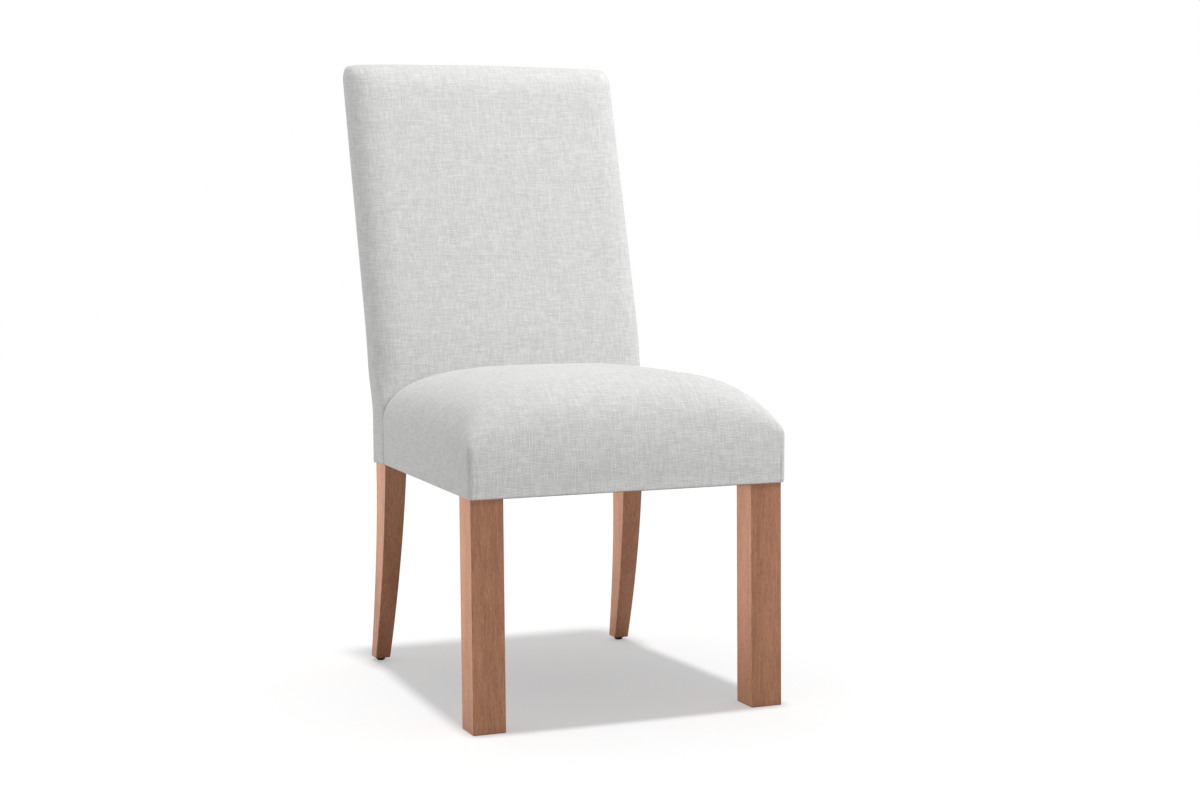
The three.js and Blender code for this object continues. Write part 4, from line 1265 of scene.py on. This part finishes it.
# Outside back: one flat panel of the linen over the board and a thin layer of wadding, turned
# in at its edges, laid over the edge of the inside-back cover and slip-stitched to it.
panel_lap = 0.0020
panel_bottom = hem_height + 0.0004
panel_rise = 0.0015
fold_depth = 0.0013
fold_width = 0.0016
puff_depth = 0.0014
puff_width = 0.045
seam_radius = rear_radius - cover_inset
roll_reach = top_roll - cover_inset


def panel_half(z):
    """Half the outside back's width: just past the seam of the inside-back cover."""
    return back_half_width(z) - cover_inset - seam_radius - seam_margin + panel_lap


def panel_top(x):
    return roll_start + roll_reach * math.sin(seam_angle) + panel_lap + crown_at(x)


def panel_spot(across, height):
    """A point of the panel, from the shares of its width (-1 to 1) and height (0 to 1).

    Its width there and its height depend on each other, and three rounds settle them."""
    z = panel_bottom
    for _ in range(3):
        x = across * panel_half(z)
        z = panel_bottom + height * (panel_top(x) - panel_bottom)
    edge = min(panel_half(z) - abs(x), panel_top(x) - z)
    folded = fold_depth * (1 - min(1.0, edge / fold_width) ** 2)
    puff = puff_depth * eased(min(edge, z - hem_height) / puff_width)
    rolled = limited((z - roll_start - crown_at(x)) / roll_reach)
    over_roll = seam_radius * (1 - math.sqrt(1 - rolled**2))
    y = back_rear - cover_inset + panel_rise - folded + puff - over_roll
    return Vector((x, front_face + y + lean(z), z))


close = [0.0, 0.0009, 0.002, 0.0035, 0.006, 0.012]
far = [1 - share for share in reversed(close)]
panel_rows = []
for height in spread(0.0, 0.98, 76) + far:
    row = [panel_spot(1 - 2 * across, height) for across in close + spread(0.02, 0.98, 56) + far]
    panel_rows.append(row)
panel = cloth_from_patches("outside_back_panel", [flat_patch(panel_rows)], linen, weld=0.00005)
thickened(panel, cover_thickness)
finish_piece(panel, "linen", "outside_back_cover")

thread_finish, bench = new_finish("sewing_thread")
twist = bench.speckle(bench.object_place(), 2600, 2.0)
bench.surface(
    Base_Color=bench.blend(twist, (0.52, 0.515, 0.50), (0.70, 0.695, 0.68)),
    Roughness=0.7 + twist * 0.15,
)
stitch_sizes = {
    "Path": None,
    "Pitch": 0.0075,
    "Length": 0.0026,
    "Radius": 0.00028,
    "Rise": 0.0006,
    "Slant": 1.15,
    "Outward": (0, 1, 0),
    "Finish": thread_finish,
}


def row_along(bench, size, shape):
    """Sets copies of a shape along the path, at its pitch, their tops outward."""
    line = bench.node("GeometryNodeMeshToCurve", None, {"Mesh": size["Path"]})
    spots = bench.node(
        "GeometryNodeCurveToPoints",
        {"mode": "LENGTH"},
        {"Curve": line, "Length": size["Pitch"]},
    )
    level = bench.node("FunctionNodeAlignRotationToVector", {"axis": "Z"}, {"Vector": size["Outward"]})
    turned = bench.node(
        "FunctionNodeAlignRotationToVector",
        {"axis": "X", "pivot_axis": "Z"},
        {"Rotation": level, "Vector": spots.out("Tangent")},
    )
    slanted = bench.node(
        "FunctionNodeRotateRotation",
        {"rotation_space": "LOCAL"},
        {"Rotation": turned, "Rotate By": bench.vector(0, 0, size["Slant"])},
    )
    return bench.node(
        "GeometryNodeInstanceOnPoints",
        None,
        {"Points": spots, "Instance": shape, "Rotation": slanted},
    )


def row_piece(name, bench, sizes, points, slot):
    """A row of stitches or staples grown along a line of points."""
    line = bpy.data.meshes.new(name)
    line.from_pydata(points, [(i, i + 1) for i in range(len(points) - 1)], [])
    row = grown(name, bench, sizes, line)
    tidied(row, 0.000001)
    finish_piece(row, slot)
    return row


bench, size = shape_tree("stitch_row", stitch_sizes)
half_length = size["Length"] * 0.5
arch = bench.node(
    "GeometryNodeCurveQuadraticBezier",
    None,
    {
        "Resolution": 5,
        "Start": bench.vector(half_length * -1, 0, size["Rise"] * -1),
        "Middle": bench.vector(0, 0, size["Rise"] * 2),
        "End": bench.vector(half_length, 0, size["Rise"] * -1),
    },
)
strand = bench.node("GeometryNodeCurvePrimitiveCircle", None, {"Resolution": 5, "Radius": size["Radius"]})
end_tree(bench, row_along(bench, size, swept_along(bench, arch, strand)), size["Finish"])


seam_pull = 0.0004
seam_stand = 0.0002


def seam_spot(across, height):
    """A point of the panel's folded edge, drawn in a little where the thread pulls."""
    x = -seam_pull * across if abs(across) == 1 else 0
    return panel_spot(across, height) + Vector((x, seam_stand, -seam_pull if height == 1 else 0))


seam_path = [seam_spot(1, height) for height in spread(0.01, 1.0, 60)]
seam_path += [seam_spot(across, 1) for across in spread(1.0, -1.0, 40)[1:]]
seam_path += [seam_spot(-1, height) for height in spread(1.0, 0.01, 60)[1:]]
shade_smooth(row_piece("back_seam_stitches", bench, stitch_sizes, seam_path, "linen"))


# Dust cover: thin black non-woven cloth under the seat, notched round the legs and stapled to
# the rails over the cover's turned edge.
black_cloth, bench = new_finish("dust_cloth")
place = bench.object_place()
fibres = bench.speckle(place, 900, 4.0)
bench.surface(
    Base_Color=bench.blend(fibres, (0.006, 0.006, 0.007), (0.030, 0.030, 0.032)),
    Roughness=0.72 + fibres * 0.2,
    Normal=bench.relief(0.5, 0.0003, bench.cells(place, 620)),
)
leg_inner = seat_front_width / 2 - leg_section
dust_top = hem_height - 0.0005
dust_front = -0.002
dust_margin = 0.008
dust_rear = back_rear - dust_margin
dust_thickness = 0.0004
notch = 0.0005
cut_near = 0.0006
cut_far = 0.0010
cut_middle = 0.0008
dust_sag = 0.002
sag_start = 0.03
sag_run = 0.43
dust_stations = spread(dust_front, leg_section + cut_near, 7)
dust_stations += spread(leg_section + cut_far, post_front - cut_far, 56)
dust_stations += spread(post_front - cut_near, dust_rear, 7)
dust_rows = []
for y in dust_stations:
    if y < leg_section + cut_middle:
        half = leg_inner - notch
    elif y < post_front - cut_middle:
        half = cover_half_width(y) - dust_margin
    else:
        half = post_inner - notch
    sag = dust_sag * math.sin(math.pi * limited((y - sag_start) / sag_run))
    row = []
    for x in spread(half, -half, 48):
        hang = sag * max(0.0, math.cos(math.pi / 2 * x / half)) ** 0.5
        row.append(Vector((x, front_face + y, dust_top - fit - hang)))
    dust_rows.append(row)
dust = cloth_from_patches("dust_sheet", [flat_patch(dust_rows)], black_cloth)
thickened(dust, dust_thickness)
finish_piece(dust, "dust_cloth", "dust_cover")

staple_sizes = {
    "Path": None,
    "Pitch": 0.036,
    "Length": 0.0105,
    "Width": 0.0012,
    "Height": 0.0005,
    "Slant": 0.12,
    "Outward": (0, 0, -1),
    "Finish": zinc,
}
bench, size = shape_tree("staple_row", staple_sizes)
wire = bench.vector(size["Length"], size["Width"], size["Height"])
staple = bench.node("GeometryNodeMeshCube", None, {"Size": wire})
end_tree(bench, row_along(bench, size, staple), size["Finish"])
staple_level = dust_top - 0.0008
staple_inset = 0.006
corner_gap = 0.012
front_run = leg_inner - corner_gap
rear_run = post_inner - corner_gap
side_run = []
for y in (leg_section + corner_gap, post_front - corner_gap):
    side_run.append((cover_half_width(y) - dust_margin - staple_inset, y))
runs = {
    "front": [(x, dust_front + staple_inset) for x in (-front_run, front_run)],
    "rear": [(x, dust_rear - staple_inset) for x in (rear_run, -rear_run)],
    "right": side_run,
    "left": [(-x, y) for x, y in reversed(side_run)],
}
for name, run in runs.items():
    points = [(x, front_face + y, staple_level) for x, y in run]
    row_piece(f"dust_cover_staples_{name}", bench, staple_sizes, points, "steel")


# Floor, light and camera: a plain white studio floor with its own light straight overhead, whose
# shadow lies under the seat. Soft lamps stand above, at the front right, at the right and at the
# left rear, two far lights reach the legs alone, and the camera has the photograph's view.
floor_half = 9
floor_white = 0.775
floor_glow = 0.353
ambient = 0.40
floor_finish, bench = new_finish("studio_floor")
seen = bench.node("ShaderNodeLightPath", out="Is Camera Ray")
matt = bench.node("ShaderNodeBsdfDiffuse", None, {"Color": (floor_white, floor_white, floor_white, 1)})
glow = bench.node("ShaderNodeEmission", None, {"Color": (1, 1, 1, 1), "Strength": seen * floor_glow})
both = bench.node("ShaderNodeAddShader", None, {0: matt, 1: glow})
bench.node("ShaderNodeOutputMaterial", None, {"Surface": both})
floor_mesh = bpy.data.meshes.new("floor")
floor_corners = [(x * floor_half, y * floor_half, 0) for x, y in ((-1, -1), (1, -1), (1, 1), (-1, 1))]
floor_mesh.from_pydata(floor_corners, [], [(0, 1, 2, 3)])
floor_mesh.materials.append(floor_finish)
floor = add_object("floor", floor_mesh)

world = bpy.data.worlds.new("studio")
bpy.context.scene.world = world
world.use_nodes = True
bench = Bench(world.node_tree)
rays = bench.node("ShaderNodeLightPath", out="Is Camera Ray")
shown_white = (rays + rays.out("Is Glossy Ray") + rays.out("Is Transmission Ray")).kept(0, 1)
backdrop = bench.node(
    "ShaderNodeBackground",
    None,
    {"Color": (1, 1, 1, 1), "Strength": ambient + shown_white * (1 - ambient)},
)
bench.node("ShaderNodeOutputWorld", None, {"Surface": backdrop})


def lit_group(name, *things):
    group = bpy.data.collections.new(name)
    for thing in things:
        group.objects.link(thing)
    return group


beside_floor = lit_group("beside_floor", floor)
beside_floor.collection_objects[0].light_linking.link_state = "EXCLUDE"
floor_alone = lit_group("floor_alone", floor)
legs = [bpy.data.objects[f"sabre_post_{side}"] for side in ("right", "left")]
legs += [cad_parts[f"front_leg_{side}"] for side in ("right", "left")]
legs_alone = lit_group("legs_alone", *legs)


def stand_light(light, place, aim, receivers):
    thing = add_object(light.name, light)
    thing.location = place
    thing.rotation_euler = (Vector(aim) - Vector(place)).to_track_quat("-Z", "Y").to_euler()
    thing.light_linking.receiver_collection = receivers


def soft_lamp(name, place, aim, width, height, watts):
    """A soft box that lights the chair and leaves the floor to its own overhead light."""
    light = bpy.data.lights.new(name, "AREA")
    light.shape = "RECTANGLE"
    light.size = width
    light.size_y = height
    light.energy = watts
    stand_light(light, place, aim, beside_floor)


def far_light(name, place, aim, softness, strength, receivers):
    """A light from far off, equally strong all over the pieces it is for."""
    light = bpy.data.lights.new(name, "SUN")
    light.angle = softness
    light.energy = strength
    stand_light(light, place, aim, receivers)


soft_lamp("above", (0.1, -0.1, 2.9), (0, 0, 0.4), 1.6, 1.6, 25.3)
soft_lamp("front_right", (1.4, -2.0, 2.4), (0, 0.1, 0.7), 1.2, 1.0, 38)
soft_lamp("right_side", (2.7, 0.6, 1.2), (0, 0, 0.6), 1.0, 1.6, 19.7)
soft_lamp("left_rear", (-2.6, 2.0, 1.3), (0, 0, 0.6), 1.4, 1.4, 17)
leg_middle = (0, 0, 0.16)
leg_softness = 0.05
far_light("legs_from_left", (-4.0, 1.2, 0.16), leg_middle, leg_softness, 3.6, legs_alone)
far_light("legs_from_front", (-1.0, -4.0, 0.16), leg_middle, leg_softness, 0.63, legs_alone)
far_light("floor_overhead", (0, 0, 3), (0, 0, 0), 0.0785, 1.47, floor_alone)

image_width = 1200
focal_pixels = 2103.923
film_width = 36
camera_place = (-1.126068, -3.017097, 0.689552)
turned_degrees = -21.894
tipped_degrees = 4.648
rolled_degrees = -0.488
camera = bpy.data.cameras.new("camera")
camera.sensor_width = film_width
camera.lens = film_width * focal_pixels / image_width
camera_stand = add_object("camera", camera)
camera_stand.location = camera_place
pan = Euler((0, 0, math.radians(turned_degrees))).to_matrix()
tilt = Euler((math.radians(90 - tipped_degrees), 0, 0)).to_matrix()
level = Euler((0, 0, math.radians(rolled_degrees))).to_matrix()
camera_stand.rotation_euler = (pan @ tilt @ level).to_euler()
bpy.context.scene.camera = camera_stand
bpy.context.scene.view_settings.view_transform = "Standard"
